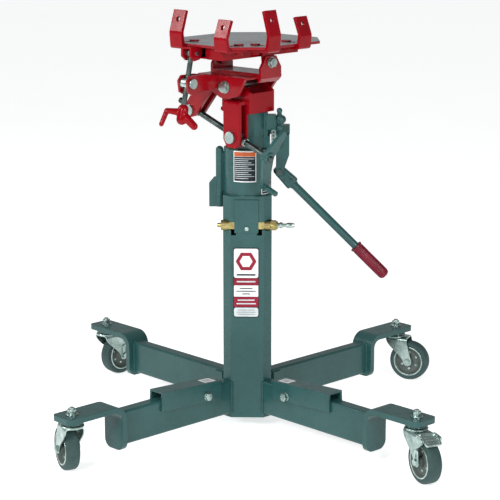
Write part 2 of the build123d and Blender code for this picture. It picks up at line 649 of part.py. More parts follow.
def fork_frame(name):
    """Where a fork sits: on the front edge of the table or, turned, on the right one."""
    offset, turn = FORKS[name]
    edge = TABLE_RIGHT if turn else TABLE_HALF
    return Rot(0, 0, turn) * Pos(offset, -edge, 0)


def table():
    half = TABLE_HALF
    right = TABLE_RIGHT
    inner = half - TABLE_CUT
    points = [(right, -inner), (right, inner), (right - TABLE_CUT, half), (-inner, half),
              (-half, inner), (-half, -inner), (-inner, -half), (right - TABLE_CUT, -half)]
    face = make_face(Polyline(*[(x, y, TABLE_LOW) for x, y in points], close=True))
    body = extrude(face, TABLE_T, dir=(0, 0, 1))
    for name in FORKS:
        slot = box(-5.6, 5.6, 18, 62, TABLE_LOW - 1, TABLE_LOW + TABLE_T + 1)
        body = body - fork_frame(name) * slot
    return body


def table_frame():
    """Two square tubes under the table, and the lugs that hang between the cradle's ears."""
    parts = []
    for x in (-26, 26):
        outer = box(x - 24, x + 24, -132, 118, TABLE_LOW - 28, TABLE_LOW - 0.1)
        parts.append(outer - box(x - 20.5, x + 20.5, -140, 130, TABLE_LOW - 24.5, TABLE_LOW - 3.6))
    for side, face in ((-1, CRADLE_LEFT), (1, CRADLE_RIGHT)):
        x0 = face - side * 15
        x1 = face - side * 8
        lug = [(-22, TABLE_LOW - 0.1), (22, TABLE_LOW - 0.1), (16, 868), (9, 859), (-9, 859), (-16, 868)]
        lug_body = sheet_x(lug, min(x0, x1), max(x0, x1)) - rod((-120, 0, NOD_Z), (120, 0, NOD_Z), 6.5 + FIT)
        web = box(min(side * 50.2, x0), max(side * 50.2, x0), -14, 14, TABLE_LOW - 14, TABLE_LOW - 0.1)
        parts.append(lug_body + web)
    return gather(parts)


def table_clevis():
    y = LIFT_TOP_Y
    back = -132.1
    ears = [(y - 18, TABLE_LOW - 0.1), (back, TABLE_LOW - 0.1), (back, 896), (y + 10, 885), (y - 6, 882),
            (y - 18, 892)]
    left = sheet_x(ears, LIFT_X - 16, LIFT_X - 10)
    right = sheet_x(ears, LIFT_X + 10, LIFT_X + 16)
    top = box(LIFT_X - 16, LIFT_X + 16, y - 18, back, TABLE_LOW - 4.1, TABLE_LOW - 0.1)
    body = left + right + top
    return body - rod((LIFT_X - 40, LIFT_TOP_Y, LIFT_TOP_Z), (LIFT_X + 40, LIFT_TOP_Y, LIFT_TOP_Z), 5.0)


def fork(name):
    """Dog-leg strap: foot under the table's edge, upright leaning in over the table, hole near the tip."""
    rise = FORK_RISE[name]
    half = FORK_WIDTH / 2
    top = TABLE_LOW + TABLE_T
    bend = top + 0.32 * rise
    tip = top + rise
    outline = [(FOOT, TABLE_LOW - 0.4), (FOOT, TABLE_LOW - 7.4), (-8.4, TABLE_LOW - 7.4), (-12, bend),
               (4, tip), (11.4, tip - 2.6), (-4, bend), (-0.4, top), (-0.4, TABLE_LOW - 0.4)]
    body = sheet_x(outline, -half, half)
    for y, z, radius in ((-12, bend, 22.0), (-4, bend, 14.0), (-8.4, TABLE_LOW - 7.4, 7.0)):
        body = fillet(body.edges().filter_by(Axis.X).sort_by_distance((0, y, z))[0], radius)
    hole_z = top + 0.72 * rise
    body = body - rod((0, -30, hole_z), (0, 30, hole_z), 5.5)
    body = body - rod((0, 49, TABLE_LOW - 20), (0, 49, TABLE_LOW + 20), 5.0)
    return body


def fork_bolt():
    top = TABLE_LOW + TABLE_T
    body = rod((0, 49, TABLE_LOW - 14), (0, 49, top + 2), 5.0)
    body = body + hexagon((0, 49, TABLE_LOW - 15), (0, 49, TABLE_LOW - 7.5), 16)
    return body + rod((0, 49, top + 0.4), (0, 49, top + 3.4), 11)


def write_head_parts():
    write_head("yoke", gather([yoke(), clevis_strap()]))
    write_head("tilt_bolt", tilt_bolt())
    write_head("side_tilt_collar", side_trunnion())
    write_head("side_tilt_screw", side_screw())
    write_head("side_tilt_crank", side_crank())
    write_head("side_tilt_nut", arm_nut())
    write_head("saddle", saddle() + saddle_fork() + cradle())
    write_head("cradle_pins", nod_pins())
    write_head("nod_eye", lift_trunnion())
    write_head("nod_screw", lift_screw())
    write_head("nod_handle", lift_handle())
    write_head("nod_nut", lift_nut())
    write_head("table", table())
    write_head("table_frame", gather([table_frame(), table_clevis()]))
    for name in FORKS:
        place = fork_frame(name)
        write_head(name, gather([place * fork(name), place * fork_bolt()]))


write_base()
write_casters()
write_lift()
write_air_valve()
write_pump()
write_head_parts()
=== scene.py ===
import json
import math

import bmesh
import bpy
from mathutils import Matrix, Vector


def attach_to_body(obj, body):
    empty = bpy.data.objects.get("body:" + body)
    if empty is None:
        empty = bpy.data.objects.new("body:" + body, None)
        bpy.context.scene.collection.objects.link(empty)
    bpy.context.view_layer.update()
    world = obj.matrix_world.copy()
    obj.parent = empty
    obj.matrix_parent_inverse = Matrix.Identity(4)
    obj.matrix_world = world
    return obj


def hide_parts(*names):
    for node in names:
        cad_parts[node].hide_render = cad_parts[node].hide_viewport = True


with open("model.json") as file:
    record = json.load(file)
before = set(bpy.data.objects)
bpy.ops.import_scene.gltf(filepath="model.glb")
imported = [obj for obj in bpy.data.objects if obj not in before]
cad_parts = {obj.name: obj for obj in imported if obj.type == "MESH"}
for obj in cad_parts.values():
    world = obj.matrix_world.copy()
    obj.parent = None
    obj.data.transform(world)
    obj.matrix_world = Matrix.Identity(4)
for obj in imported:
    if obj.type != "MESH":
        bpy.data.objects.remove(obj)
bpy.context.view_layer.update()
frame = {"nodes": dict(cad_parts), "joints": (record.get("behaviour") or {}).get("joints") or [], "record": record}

NODES = frame["nodes"]
JOINTS = {joint["name"]: joint for joint in frame["joints"]}
MM = 0.001

# ---- driving sizes, in millimetres ----
HEAD_YAW = math.radians(-42.0)
HEAD = Matrix.Rotation(HEAD_YAW, 4, "Z")
FRONT_AXIS = HEAD.to_3x3() @ Vector((0, -1, 0))     # the way that the head's clevis faces
CORNERS = {"front_left": 225.0, "front_right": 315.0, "rear_left": 135.0, "rear_right": 45.0}
BRAKED = ("front_right", "rear_left")
COLUMN_HALF = 56.5
SLEEVE_RADIUS = 55.5
WHEEL_RADIUS = 50.8
WHEEL_HALF = 16.0
TRAIL = 40.0
VALVE_Y = -45.0
VALVE_Z = 494.0
NOD_Z = 874.0
CRADLE_LEFT = -86.0
CRADLE_RIGHT = 74.0
TILT_REAR = 46.0
BOLT_REACH = 152.0          # the front legs' through bolts, from the column's middle
BOLT_Z = 102.0
SCREW_LOW = 118.0           # the side-tilt screw's ends and its crank, from the collar
SCREW_HIGH = 194.0
CRANK_REACH = 102.0
HANDLE_REACH = 141.0        # the vertical screw's handle, from the hanger
HANDLE_SLOPE = math.radians(-45.0)
LABEL_X = -2.4
CRANK_ARMS = ((242.0, 70.0, 8.4), (104.0, 88.0, 9.6))     # angle, length and half width at the tip


# ---- materials ----

def new_material(name):
    """An empty node material: its tree, its Principled shader and a position source in metres."""
    material = bpy.data.materials.new(name)
    material.use_nodes = True
    tree = material.node_tree
    shader = tree.nodes["Principled BSDF"]
    coords = tree.nodes.new("ShaderNodeTexCoord")
    return material, tree, shader, coords.outputs["Object"]


def noise(tree, source, scale, detail=4.0, rough=0.55, stretch=None):
    """A noise texture, stretched along an axis when asked."""
    node = tree.nodes.new("ShaderNodeTexNoise")
    node.inputs["Scale"].default_value = scale
    node.inputs["Detail"].default_value = detail
    node.inputs["Roughness"].default_value = rough
    if stretch:
        mapping = tree.nodes.new("ShaderNodeMapping")
        mapping.inputs["Scale"].default_value = stretch
        tree.links.new(source, mapping.inputs["Vector"])
        source = mapping.outputs["Vector"]
    tree.links.new(source, node.inputs["Vector"])
    return node.outputs["Fac"]


def ramp(tree, value, low, high, start=0.35, end=0.65):
    """Turns a value into a colour between two."""
    node = tree.nodes.new("ShaderNodeValToRGB")
    node.color_ramp.elements[0].position = start
    node.color_ramp.elements[1].position = end
    node.color_ramp.elements[0].color = (*low, 1)
    node.color_ramp.elements[1].color = (*high, 1)
    tree.links.new(value, node.inputs["Fac"])
    return node.outputs["Color"]


def mix(tree, factor, first, second):
    """Blends two colours by a value."""
    node = tree.nodes.new("ShaderNodeMix")
    node.data_type = "RGBA"
    tree.links.new(factor, node.inputs["Factor"])
    for colour, socket in ((first, node.inputs["A"]), (second, node.inputs["B"])):
        if isinstance(colour, tuple):
            socket.default_value = (*colour, 1)
        else:
            tree.links.new(colour, socket)
    return node.outputs["Result"]


def scaled(tree, value, low, high, start=0.3, end=0.7):
    """Maps a value to another range."""
    node = tree.nodes.new("ShaderNodeMapRange")
    node.inputs["From Min"].default_value = start
    node.inputs["From Max"].default_value = end
    node.inputs["To Min"].default_value = low
    node.inputs["To Max"].default_value = high
    tree.links.new(value, node.inputs["Value"])
    return node.outputs["Result"]


def arithmetic(tree, operation, first, second):
    """One sum on two values."""
    node = tree.nodes.new("ShaderNodeMath")
    node.operation = operation
    for value, socket in ((first, node.inputs[0]), (second, node.inputs[1])):
        if isinstance(value, (int, float)):
            socket.default_value = value
        else:
            tree.links.new(value, socket)
    return node.outputs["Value"]


def edge_wear_and_sheen(tree, source, radius):
    """A mask of edges painted lighter, part paint wear and part painted highlight: where a rounded normal leaves
    the face's own, broken up by noise.
    """
    bevel = tree.nodes.new("ShaderNodeBevel")
    bevel.samples = 4
    bevel.inputs["Radius"].default_value = radius
    geometry = tree.nodes.new("ShaderNodeNewGeometry")
    dot = tree.nodes.new("ShaderNodeVectorMath")
    dot.operation = "DOT_PRODUCT"
    tree.links.new(bevel.outputs["Normal"], dot.inputs[0])
    tree.links.new(geometry.outputs["Normal"], dot.inputs[1])
    edges = scaled(tree, dot.outputs["Value"], 1.0, 0.0, 0.80, 0.97)
    broken = scaled(tree, noise(tree, source, 70, 6, 0.7), 0.0, 0.8, 0.47, 0.62)
    return arithmetic(tree, "MULTIPLY", edges, broken)


def soft_bump(tree, shader, height, strength, distance, round_edges=0.0):
    """Bump on the shader, over edges rounded by a small radius."""
    bump = tree.nodes.new("ShaderNodeBump")
    bump.inputs["Strength"].default_value = strength
    bump.inputs["Distance"].default_value = distance
    tree.links.new(height, bump.inputs["Height"])
    if round_edges:
        bevel = tree.nodes.new("ShaderNodeBevel")
        bevel.samples = 6
        bevel.inputs["Radius"].default_value = round_edges
        tree.links.new(bevel.outputs["Normal"], bump.inputs["Normal"])
    tree.links.new(bump.outputs["Normal"], shader.inputs["Normal"])


def upward(tree, source, height):
    """A mask of the level faces of an object above a height."""
    coords = tree.nodes.new("ShaderNodeTexCoord")
    normal = tree.nodes.new("ShaderNodeSeparateXYZ")
    tree.links.new(coords.outputs["Normal"], normal.inputs[0])
    place = tree.nodes.new("ShaderNodeSeparateXYZ")
    tree.links.new(source, place.inputs[0])
    level = scaled(tree, normal.outputs["Z"], 0.0, 1.0, 0.90, 0.98)
    above = scaled(tree, place.outputs["Z"], 0.0, 1.0, height - 0.001, height)
    return arithmetic(tree, "MULTIPLY", level, above)


def enamel(name, colours, roughness, round_edges, coat, bare_above=None, specular=0.30):
    """Sprayed enamel: colour drift, grime, edges painted lighter as part wear and part painted highlight, orange
    peel and dulled edges, and bare steel on top when asked.
    """
    dark, light, edge_wear_sheen = colours
    material, tree, shader, source = new_material(name)
    drift = ramp(tree, noise(tree, source, 7, 5, 0.6), dark, light)
    grime = scaled(tree, noise(tree, source, 34, 6, 0.65), 0.0, 0.25, 0.5, 0.75)
    tone = mix(tree, grime, drift, tuple(c * 0.5 for c in dark))
    # every edge is painted a lighter tint of the paint: part wear, part painted highlight
    colour = mix(tree, edge_wear_and_sheen(tree, source, 0.0012), tone, edge_wear_sheen)
    if bare_above is not None:
        brushed = noise(tree, source, 30, 6, 0.6, (1, 6, 1))
        bare = ramp(tree, brushed, (0.20, 0.22, 0.235), (0.30, 0.32, 0.335))
        colour = mix(tree, upward(tree, source, bare_above), colour, bare)
    tree.links.new(colour, shader.inputs["Base Color"])
    tree.links.new(scaled(tree, noise(tree, source, 60, 5), roughness - 0.07, roughness + 0.09),
                   shader.inputs["Roughness"])
    shader.inputs["Coat Weight"].default_value = coat
    shader.inputs["Specular IOR Level"].default_value = specular
    shader.inputs["Coat Roughness"].default_value = 0.16
    soft_bump(tree, shader, noise(tree, source, 420, 3, 0.5), 0.10, 0.0006, round_edges)
    return material


def plated(name, dark, light, roughness):
    """Plated or bare steel: brushed grain, cloudy colour."""
    material, tree, shader, source = new_material(name)
    grain = noise(tree, source, 240, 5, 0.6, (1, 1, 12))
    cloud = noise(tree, source, 45, 5, 0.6)
    colour = ramp(tree, cloud, dark, light)
    tree.links.new(colour, shader.inputs["Base Color"])
    shader.inputs["Metallic"].default_value = 1.0
    tree.links.new(scaled(tree, grain, roughness - 0.08, roughness + 0.12), shader.inputs["Roughness"])
    soft_bump(tree, shader, grain, 0.12, 0.0004, 0.0008)
    return material


def rubber(name, dark, light):
    """Grey tyre rubber with a fine grain and dusty patches."""
    material, tree, shader, source = new_material(name)
    dust = noise(tree, source, 26, 6, 0.65)
    tree.links.new(ramp(tree, dust, dark, light, 0.3, 0.75), shader.inputs["Base Color"])
    tree.links.new(scaled(tree, dust, 0.5, 0.75), shader.inputs["Roughness"])
    shader.inputs["Specular IOR Level"].default_value = 0.25
    soft_bump(tree, shader, noise(tree, source, 900, 4), 0.25, 0.0004, 0.0006)
    return material


def plastic(name, dark, light, roughness):
    """Moulded plastic with a faint sheen and fine grain."""
    material, tree, shader, source = new_material(name)
    tree.links.new(ramp(tree, noise(tree, source, 30, 5), dark, light), shader.inputs["Base Color"])
    tree.links.new(scaled(tree, noise(tree, source, 80, 4), roughness - 0.06, roughness + 0.1),
                   shader.inputs["Roughness"])
    shader.inputs["Specular IOR Level"].default_value = 0.25
    soft_bump(tree, shader, noise(tree, source, 700, 3), 0.15, 0.0005, 0.0008)
    return material


GREENS = ((0.015, 0.068, 0.066), (0.022, 0.086, 0.083), (0.08, 0.17, 0.16))     # dark, light, and a lighter edge colour that is part wear, part painted highlight
# the third colour of each set is the lighter edge colour: part wear, part painted highlight
REDS = ((0.20, 0.0012, 0.005), (0.27, 0.002, 0.007), (0.40, 0.02, 0.035))
TABLE_REDS = ((0.20, 0.0012, 0.006), (0.27, 0.002, 0.009), (0.40, 0.02, 0.035))
PAINT = enamel("base_enamel", GREENS, 0.30, 0.0016, 0.12)
RED = enamel("head_enamel", REDS, 0.16, 0.0020, 0.04, specular=0.15)
TABLE_RED = enamel("table_enamel", TABLE_REDS, 0.20, 0.0012, 0.15, bare_above=0.9195)
SADDLE_RED = enamel("saddle_enamel", REDS, 0.18, 0.0020, 0.15, bare_above=0.8495)
ZINC = plated("zinc_plate", (0.26, 0.35, 0.33), (0.52, 0.64, 0.61), 0.30)
OILED = plated("oiled_steel", (0.035, 0.050, 0.048), (0.115, 0.145, 0.138), 0.32)
CHROME = plated("hard_chrome", (0.62, 0.63, 0.65), (0.74, 0.75, 0.77), 0.14)
BRASS = plated("satin_brass", (0.30, 0.24, 0.09), (0.52, 0.45, 0.20), 0.38)
ALLOY = plated("machined_alloy", (0.60, 0.61, 0.62), (0.72, 0.73, 0.74), 0.30)
TYRE = rubber("tyre_rubber", (0.022, 0.052, 0.050), (0.050, 0.092, 0.088))
HUB = rubber("hub_casting", (0.060, 0.082, 0.074), (0.13, 0.155, 0.14))
GRIP = plastic("grip_plastic", (0.115, 0.004, 0.014), (0.17, 0.007, 0.022), 0.30)
FILM_WHITE = plastic("label_white", (0.74, 0.75, 0.76), (0.82, 0.83, 0.84), 0.35)
FILM_GREY = plastic("label_grey", (0.50, 0.55, 0.56), (0.60, 0.65, 0.66), 0.35)
FILM_RED = plastic("label_red", (0.22, 0.006, 0.024), (0.28, 0.009, 0.032), 0.35)
FILM_DARK = plastic("label_dark", (0.008, 0.014, 0.020), (0.014, 0.024, 0.030), 0.35)
FILM_ORANGE = plastic("label_orange", (0.42, 0.085, 0.025), (0.52, 0.12, 0.035), 0.35)

SLOT_MATERIALS = {
    "base_paint": PAINT, "head_paint": RED, "zinc_steel": ZINC, "oiled_steel": OILED, "chromed_steel": CHROME,
    "brass": BRASS, "piston_aluminium": ALLOY, "wheel_rubber": TYRE, "grip_plastic": GRIP,
}
PIECE_SLOTS = {material.name: slot for slot, material in SLOT_MATERIALS.items()}
PIECE_SLOTS[HUB.name] = "wheel_rubber"
NODE_MATERIALS = {"table": TABLE_RED, "saddle": SADDLE_RED, "pump_pivot_pin": OILED}


def dress_cad_nodes():
    """Gives every carried-over CAD node the material of its slot, or its own."""
    for row in frame["record"]["subparts"]:
        node = NODES[row["node"]]
        node.data.materials.clear()
        node.data.materials.append(NODE_MATERIALS.get(row["node"], SLOT_MATERIALS[row["material_slot"]]))


# ---- mesh helpers ----

def attach(piece, body, stands_for):
    """Gives a piece its body and hides the nodes it replaces."""
    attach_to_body(piece, body)
    if stands_for:
        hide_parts(*stands_for)


def finish_mesh(name, build, material, body, stands_for=(), sharp=35.0, bevel=0.0):
    """Makes a piece from a bmesh: smooth shading with sharp creases, a material and a body."""
    bmesh.ops.recalc_face_normals(build, faces=build.faces)
    mesh = bpy.data.meshes.new(name)
    build.to_mesh(mesh)
    build.free()
    for face in mesh.polygons:
        face.use_smooth = True
    mesh.set_sharp_from_angle(angle=math.radians(sharp))
    piece = bpy.data.objects.new(name, mesh)
    bpy.context.scene.collection.objects.link(piece)
    if bevel:
        rounding = piece.modifiers.new("edges", "BEVEL")
        rounding.width = bevel
        rounding.segments = 2
        rounding.limit_method = "ANGLE"
        rounding.angle_limit = math.radians(35)
        rounding.harden_normals = True
    mesh.materials.append(material)
    attach(piece, body, stands_for)


def aim(origin, direction, side=None):
    """A frame with its Z along a direction, and its X near a side when one is given."""
    z = Vector(direction).normalized()
    x = Vector(side) if side else z.orthogonal()
    x = (x - z * x.dot(z)).normalized()
    y = z.cross(x)
    return Matrix.Translation(Vector(origin)) @ Matrix((x, y, z)).transposed().to_4x4()


def lathe(build, frame_matrix, profile, steps):
    """Turns a profile of (radius, along) points about the frame's Z; an end on the axis is closed."""
    rings = []
    for radius, along in profile:
        if radius < 1e-6:
            rings.append([build.verts.new(frame_matrix @ Vector((0, 0, along)))])
            continue
        ring = []
        for i in range(steps):
            angle = 2 * math.pi * i / steps
            point = Vector((radius * math.cos(angle), radius * math.sin(angle), along))
            ring.append(build.verts.new(frame_matrix @ point))
        rings.append(ring)
    for low, high in zip(rings, rings[1:]):
        for i in range(steps):
            j = (i + 1) % steps
            if len(low) == 1 and len(high) == 1:
                continue
            if len(low) == 1:
                build.faces.new((low[0], high[i], high[j]))
            elif len(high) == 1:
                build.faces.new((low[i], low[j], high[0]))
            else:
                build.faces.new((low[i], low[j], high[j], high[i]))


def ring_lathe(build, frame_matrix, profile, steps):
    """Turns a closed profile about the frame's Z, such as a tyre's section."""
    rings = []
    for i in range(steps):
        angle = 2 * math.pi * i / steps
        rings.append([build.verts.new(frame_matrix @ Vector((r * math.cos(angle), r * math.sin(angle), z)))
                      for r, z in profile])
    count = len(profile)
    for i in range(steps):
        ring, after = rings[i], rings[(i + 1) % steps]
        for k in range(count):
            m = (k + 1) % count
            build.faces.new((ring[k], ring[m], after[m], after[k]))


def millimetres(profile):
    """A profile in millimetres as one in metres."""
    return [(r * MM, z * MM) for r, z in profile]


def turned(build, frame_matrix, profile, steps):
    """A lathe's work from a profile in millimetres."""
    lathe(build, frame_matrix, millimetres(profile), steps)


def turned_ring(build, frame_matrix, profile, steps):
    """A ring from a closed profile in millimetres."""
    ring_lathe(build, frame_matrix, millimetres(profile), steps)


def skin(build, rings):
    """Joins rings of as many points each into a closed skin."""
    for low, high in zip(rings, rings[1:]):
        for i in range(len(low)):
            j = (i + 1) % len(low)
            build.faces.new((low[i], low[j], high[j], high[i]))
    build.faces.new(rings[0][::-1])
    build.faces.new(rings[-1])


def slab(build, frame_matrix, outline, low, high):
    """A plate between two heights of a frame, from its outline of (x, y) points."""
    bottom = [build.verts.new(frame_matrix @ Vector((x, y, low))) for x, y in outline]
    top = [build.verts.new(frame_matrix @ Vector((x, y, high))) for x, y in outline]
    build.faces.new(bottom[::-1])
    build.faces.new(top)
    for i in range(len(outline)):
        j = (i + 1) % len(outline)
        build.faces.new((bottom[i], bottom[j], top[j], top[i]))


def rounded(width, height, radius, steps=5):
    """The outline of a rectangle with round corners, about its middle."""
    points = []
    for cx, cy, start in ((1, 1, 0), (-1, 1, 90), (-1, -1, 180), (1, -1, 270)):
        for i in range(steps + 1):
            angle = math.radians(start + 90 * i / steps)
            points.append((cx * (width / 2 - radius) + radius * math.cos(angle),
                           cy * (height / 2 - radius) + radius * math.sin(angle)))
    return points


def hex_profile(across):
    """The outline of a hexagon across its flats."""
    radius = across / math.sqrt(3)
    corners = [math.radians(60 * i) for i in range(6)]
    return [(radius * math.cos(angle), radius * math.sin(angle)) for angle in corners]


def limbs(build, segments):
    """Tapered round limbs with ball ends, each (start, end, start radius, end radius)."""
    for start, end, r0, r1 in segments:
        a, b = Vector(start), Vector(end)
        length = (b - a).length
        place = aim(a, b - a) if length > 1e-6 else Matrix.Translation(a)
        profile = [(r0 * math.cos(math.radians(t)), r0 * math.sin(math.radians(t)))
                   for t in range(-90, 1, 15)]
        profile += [(r1 * math.cos(math.radians(t)), length + r1 * math.sin(math.radians(t)))
                    for t in range(0, 91, 15)]
        profile[0] = (0.0, -r0)
        profile[-1] = (0.0, length + r1)
        lathe(build, place, profile, 20)


def cast(name, segments, voxel, smoothing, material, body, stands_for):
    """A casting: limbs melted into one skin, then smoothed."""
    build = bmesh.new()
    limbs(build, segments)
    mesh = bpy.data.meshes.new(name)
    build.to_mesh(mesh)
    build.free()
    piece = bpy.data.objects.new(name, mesh)
    bpy.context.scene.collection.objects.link(piece)
    melt = piece.modifiers.new("melt", "REMESH")
    melt.mode = "VOXEL"
    melt.voxel_size = voxel
    melt.use_smooth_shade = True
    relax = piece.modifiers.new("relax", "SMOOTH")
    relax.factor = 0.5
    relax.iterations = smoothing
    graph = bpy.context.evaluated_depsgraph_get()
    done = bpy.data.meshes.new_from_object(piece.evaluated_get(graph))
    piece.modifiers.clear()
    piece.data = done
    for face in done.polygons:
        face.use_smooth = True
    done.materials.clear()
    done.materials.append(material)
    attach(piece, body, stands_for)


def thread(build, start, end, radius, pitch, depth):
    """A threaded bar: rings whose radius follows the thread's flank, chamfered at both ends."""
    a, b = Vector(start), Vector(end)
    length = (b - a).length
    place = aim(a, b - a)
    around = 20
    rows = int(length / pitch * 5)
    rings = []
    for row in range(rows + 1):
        along = length * row / rows
        ring = []
        for i in range(around):
            phase = (along / pitch - i / around) % 1.0
            chamfer = max(0.0, 1 - min(along, length - along) / 0.002)
            cut = depth * max(1 - abs(2 * phase - 1), chamfer)
            angle = 2 * math.pi * i / around
            r = radius - cut
            ring.append(build.verts.new(place @ Vector((r * math.cos(angle), r * math.sin(angle), along))))
        rings.append(ring)
    skin(build, rings)


def bead(name, path, radius, material, body, closed=False):
    """A weld bead: overlapping ripples along a path."""
    build = bmesh.new()
    points = [Vector(p) for p in path]
    if closed:
        points.append(points[0])
    centres = []
    for a, b in zip(points, points[1:]):
        count = max(2, int((b - a).length / (radius * 0.55)))
        centres += [(a.lerp(b, i / count), b - a) for i in range(count)]
    centres.append((points[-1], points[-1] - points[-2]))
    around = 8
    rings = []
    for k, (centre, direction) in enumerate(centres):
        r = radius * (1.0 if k % 2 else 0.80)
        place = aim(centre, direction, (0, 0, 1) if abs(direction.normalized().z) < 0.9 else (1, 0, 0))
        rings.append([build.verts.new(place @ Vector((r * math.cos(2 * math.pi * i / around),
                                                     r * math.sin(2 * math.pi * i / around), 0)))
                      for i in range(around)])
    skin(build, rings)
    finish_mesh(name, build, material, body, sharp=60)


def head_point(x, y, z):
    """A point of the head's own axes, in millimetres, as a point of the frame in metres."""
    c, s = math.cos(HEAD_YAW), math.sin(HEAD_YAW)
    return Vector(((x * c - y * s) * MM, (x * s + y * c) * MM, z * MM))


# ---- casters ----

def caster_frame(name):
    """A caster's own axes: Z up its swivel, X towards its axle."""
    swivel = Vector(JOINTS["caster_swivel_" + name]["pos_m"])
    axle = Vector(JOINTS["wheel_spin_" + name]["pos_m"])
    return aim((swivel.x, swivel.y, 0), (0, 0, 1), (axle.x - swivel.x, axle.y - swivel.y, 0))


def local(frame_matrix, x, y, z):
    """A point of a frame, in millimetres, as a point in metres."""
    return frame_matrix @ Vector((x * MM, y * MM, z * MM))


def axle_frame(place, y):
    """The frame of a caster's axle, at a distance along it."""
    turn = place.to_3x3()
    return aim(local(place, TRAIL, y, WHEEL_RADIUS), turn @ Vector((0, 1, 0)), turn @ Vector((1, 0, 0)))


def tyre_section():
    """A tyre's section: straight flanks, round shoulders and a crowned tread."""
    shoulder = 7.0
    points = [(38.6, -14.6), (39.6, -15.6), (WHEEL_RADIUS - shoulder - 0.6, -WHEEL_HALF)]
    for side in (-1, 1):
        angles = range(0, 91, 15) if side < 0 else range(90, -1, -15)
        for angle in angles:
            turn = math.radians(angle)
            points.append((WHEEL_RADIUS - 0.6 - shoulder + shoulder * math.sin(turn),
                           side * (WHEEL_HALF - shoulder + shoulder * math.cos(turn))))
        if side < 0:
            points += [(WHEEL_RADIUS - 0.2, -5.0), (WHEEL_RADIUS, 0.0), (WHEEL_RADIUS - 0.2, 5.0)]
    points += [(39.6, 15.6), (38.6, 14.6)]
    return millimetres(points)


def hub_section():
    """A hub's section: a bearing boss, a dished web and a rim lip on both faces."""
    half = [(6.3, 17.0), (10.5, 17.0), (12.0, 15.6), (12.6, 8.0), (15.0, 6.6), (28.0, 6.6), (31.5, 8.4),
            (33.4, 14.6), (34.6, 15.9), (36.8, 15.9), (38.5, 14.4)]
    return millimetres(half + [(r, -z) for r, z in reversed(half)])


def wheel(name, place):
    """A caster's tyre, its hub, and the hub's bright rings and bolts."""
    axle = axle_frame(place, 0)
    node = "caster_wheel_" + name
    build = bmesh.new()
    ring_lathe(build, axle, tyre_section(), 96)
    finish_mesh("tyre_" + name, build, TYRE, "wheel_" + name, [node])
    build = bmesh.new()
    ring_lathe(build, axle, hub_section(), 72)
    finish_mesh("hub_" + name, build, HUB, "wheel_" + name, [node])
    build = bmesh.new()
    for side in (-1, 1):
        ring = [(35.2, 15.3), (35.6, 16.1), (38.4, 16.1), (38.9, 15.2)]
        ring_lathe(build, axle, [(r * MM, side * z * MM) for r, z in ring], 72)
        for i in range(6):
            turn = math.radians(60 * i + 30)
            spot = axle @ Vector((21.5 * MM * math.cos(turn), 21.5 * MM * math.sin(turn), side * 5.6 * MM))
            axis = axle.to_3x3() @ Vector((0, 0, side))
            turned(build, aim(spot, axis), [(0, 0), (3.4, 0), (3.4, 1.5), (2.6, 2.1), (0, 2.1)], 16)
    finish_mesh("hub_rings_" + name, build, ZINC, "wheel_" + name, [node])


def cheek_edges(y, z):
    """The front and rear edges of the pressed fork at a point of its section."""
    if z < WHEEL_RADIUS:
        half = math.sqrt(max(11.0 ** 2 - (WHEEL_RADIUS - z) ** 2, 2.0))
        return TRAIL - half, TRAIL + half
    t = min(1.0, max(0.0, (104.0 - z) / (104.0 - WHEEL_RADIUS)))
    ease = t * t * (3 - 2 * t)
    front = -18.0 - 8.0 * math.cos(math.pi / 2 * min(1.0, abs(y) / 23.0))
    return front + (TRAIL - 11.0 - front) * (0.35 * t + 0.65 * ease), 37.0 + (TRAIL + 11.0 - 37.0) * t


def fork_shell(build, place):
    """The pressed fork: one sheet that runs up a cheek, over the crown and down the other."""
    corner = 9.0
    thick = 3.0
    side = 23.0
    crown = 114.0
    heights = (40.0, 40.8, 42.0, 44.0, 47.0, 50.8, *range(56, 99, 6))
    section = [(side, z, 1.0, 0.0) for z in heights]
    for angle in range(0, 91, 15):
        c, s = math.cos(math.radians(angle)), math.sin(math.radians(angle))
        section.append((side - corner + corner * c, crown - corner + corner * s, c, s))
    section += [(y, crown, 0.0, 1.0) for y in (10.0, 5.0, 0.0)]
    section += [(-y, z, -ny, nz) for y, z, ny, nz in reversed(section[:-1])]
    columns = 12
    skins = []
    for depth in (0.0, thick):
        grid = []
        for y, z, ny, nz in section:
            front, rear = cheek_edges(y, z)
            across = [front + (rear - front) * k / columns for k in range(columns + 1)]
            grid.append([build.verts.new(local(place, x, y - ny * depth, z - nz * depth)) for x in across])
        skins.append(grid)
    outer, inner = skins
    rows = len(section)
    for i in range(rows - 1):
        for k in range(columns):
            build.faces.new((outer[i][k], outer[i][k + 1], outer[i + 1][k + 1], outer[i + 1][k]))
            build.faces.new((inner[i][k], inner[i + 1][k], inner[i + 1][k + 1], inner[i][k + 1]))
        for k in (0, columns):
            build.faces.new((outer[i][k], outer[i + 1][k], inner[i + 1][k], inner[i][k]))
    for i in (0, rows - 1):
        for k in range(columns):
            build.faces.new((outer[i][k], inner[i][k], inner[i][k + 1], outer[i][k + 1]))


def hex_head(build, frame_matrix, across, low, high):
    """A six-sided head or nut with its corners turned off, in millimetres along a frame's Z."""
    inner = across / 2
    outer = across / math.sqrt(3)
    slope = (outer - inner) * 0.6
    around = 48
    levels = [(low, inner), (low + slope, outer), (high - slope, outer),
              (high - slope / 2, (inner + outer) / 2), (high, inner * 0.97)]
    rings = []
    for z, limit in levels:
        ring = []
        for i in range(around):
            angle = 2 * math.pi * i / around
            flat = inner / math.cos((angle + math.pi / 6) % (math.pi / 3) - math.pi / 6)
            r = min(flat, limit) * MM
            point = Vector((r * math.cos(angle), r * math.sin(angle), z * MM))
            ring.append(build.verts.new(frame_matrix @ point))
        rings.append(ring)
    skin(build, rings)


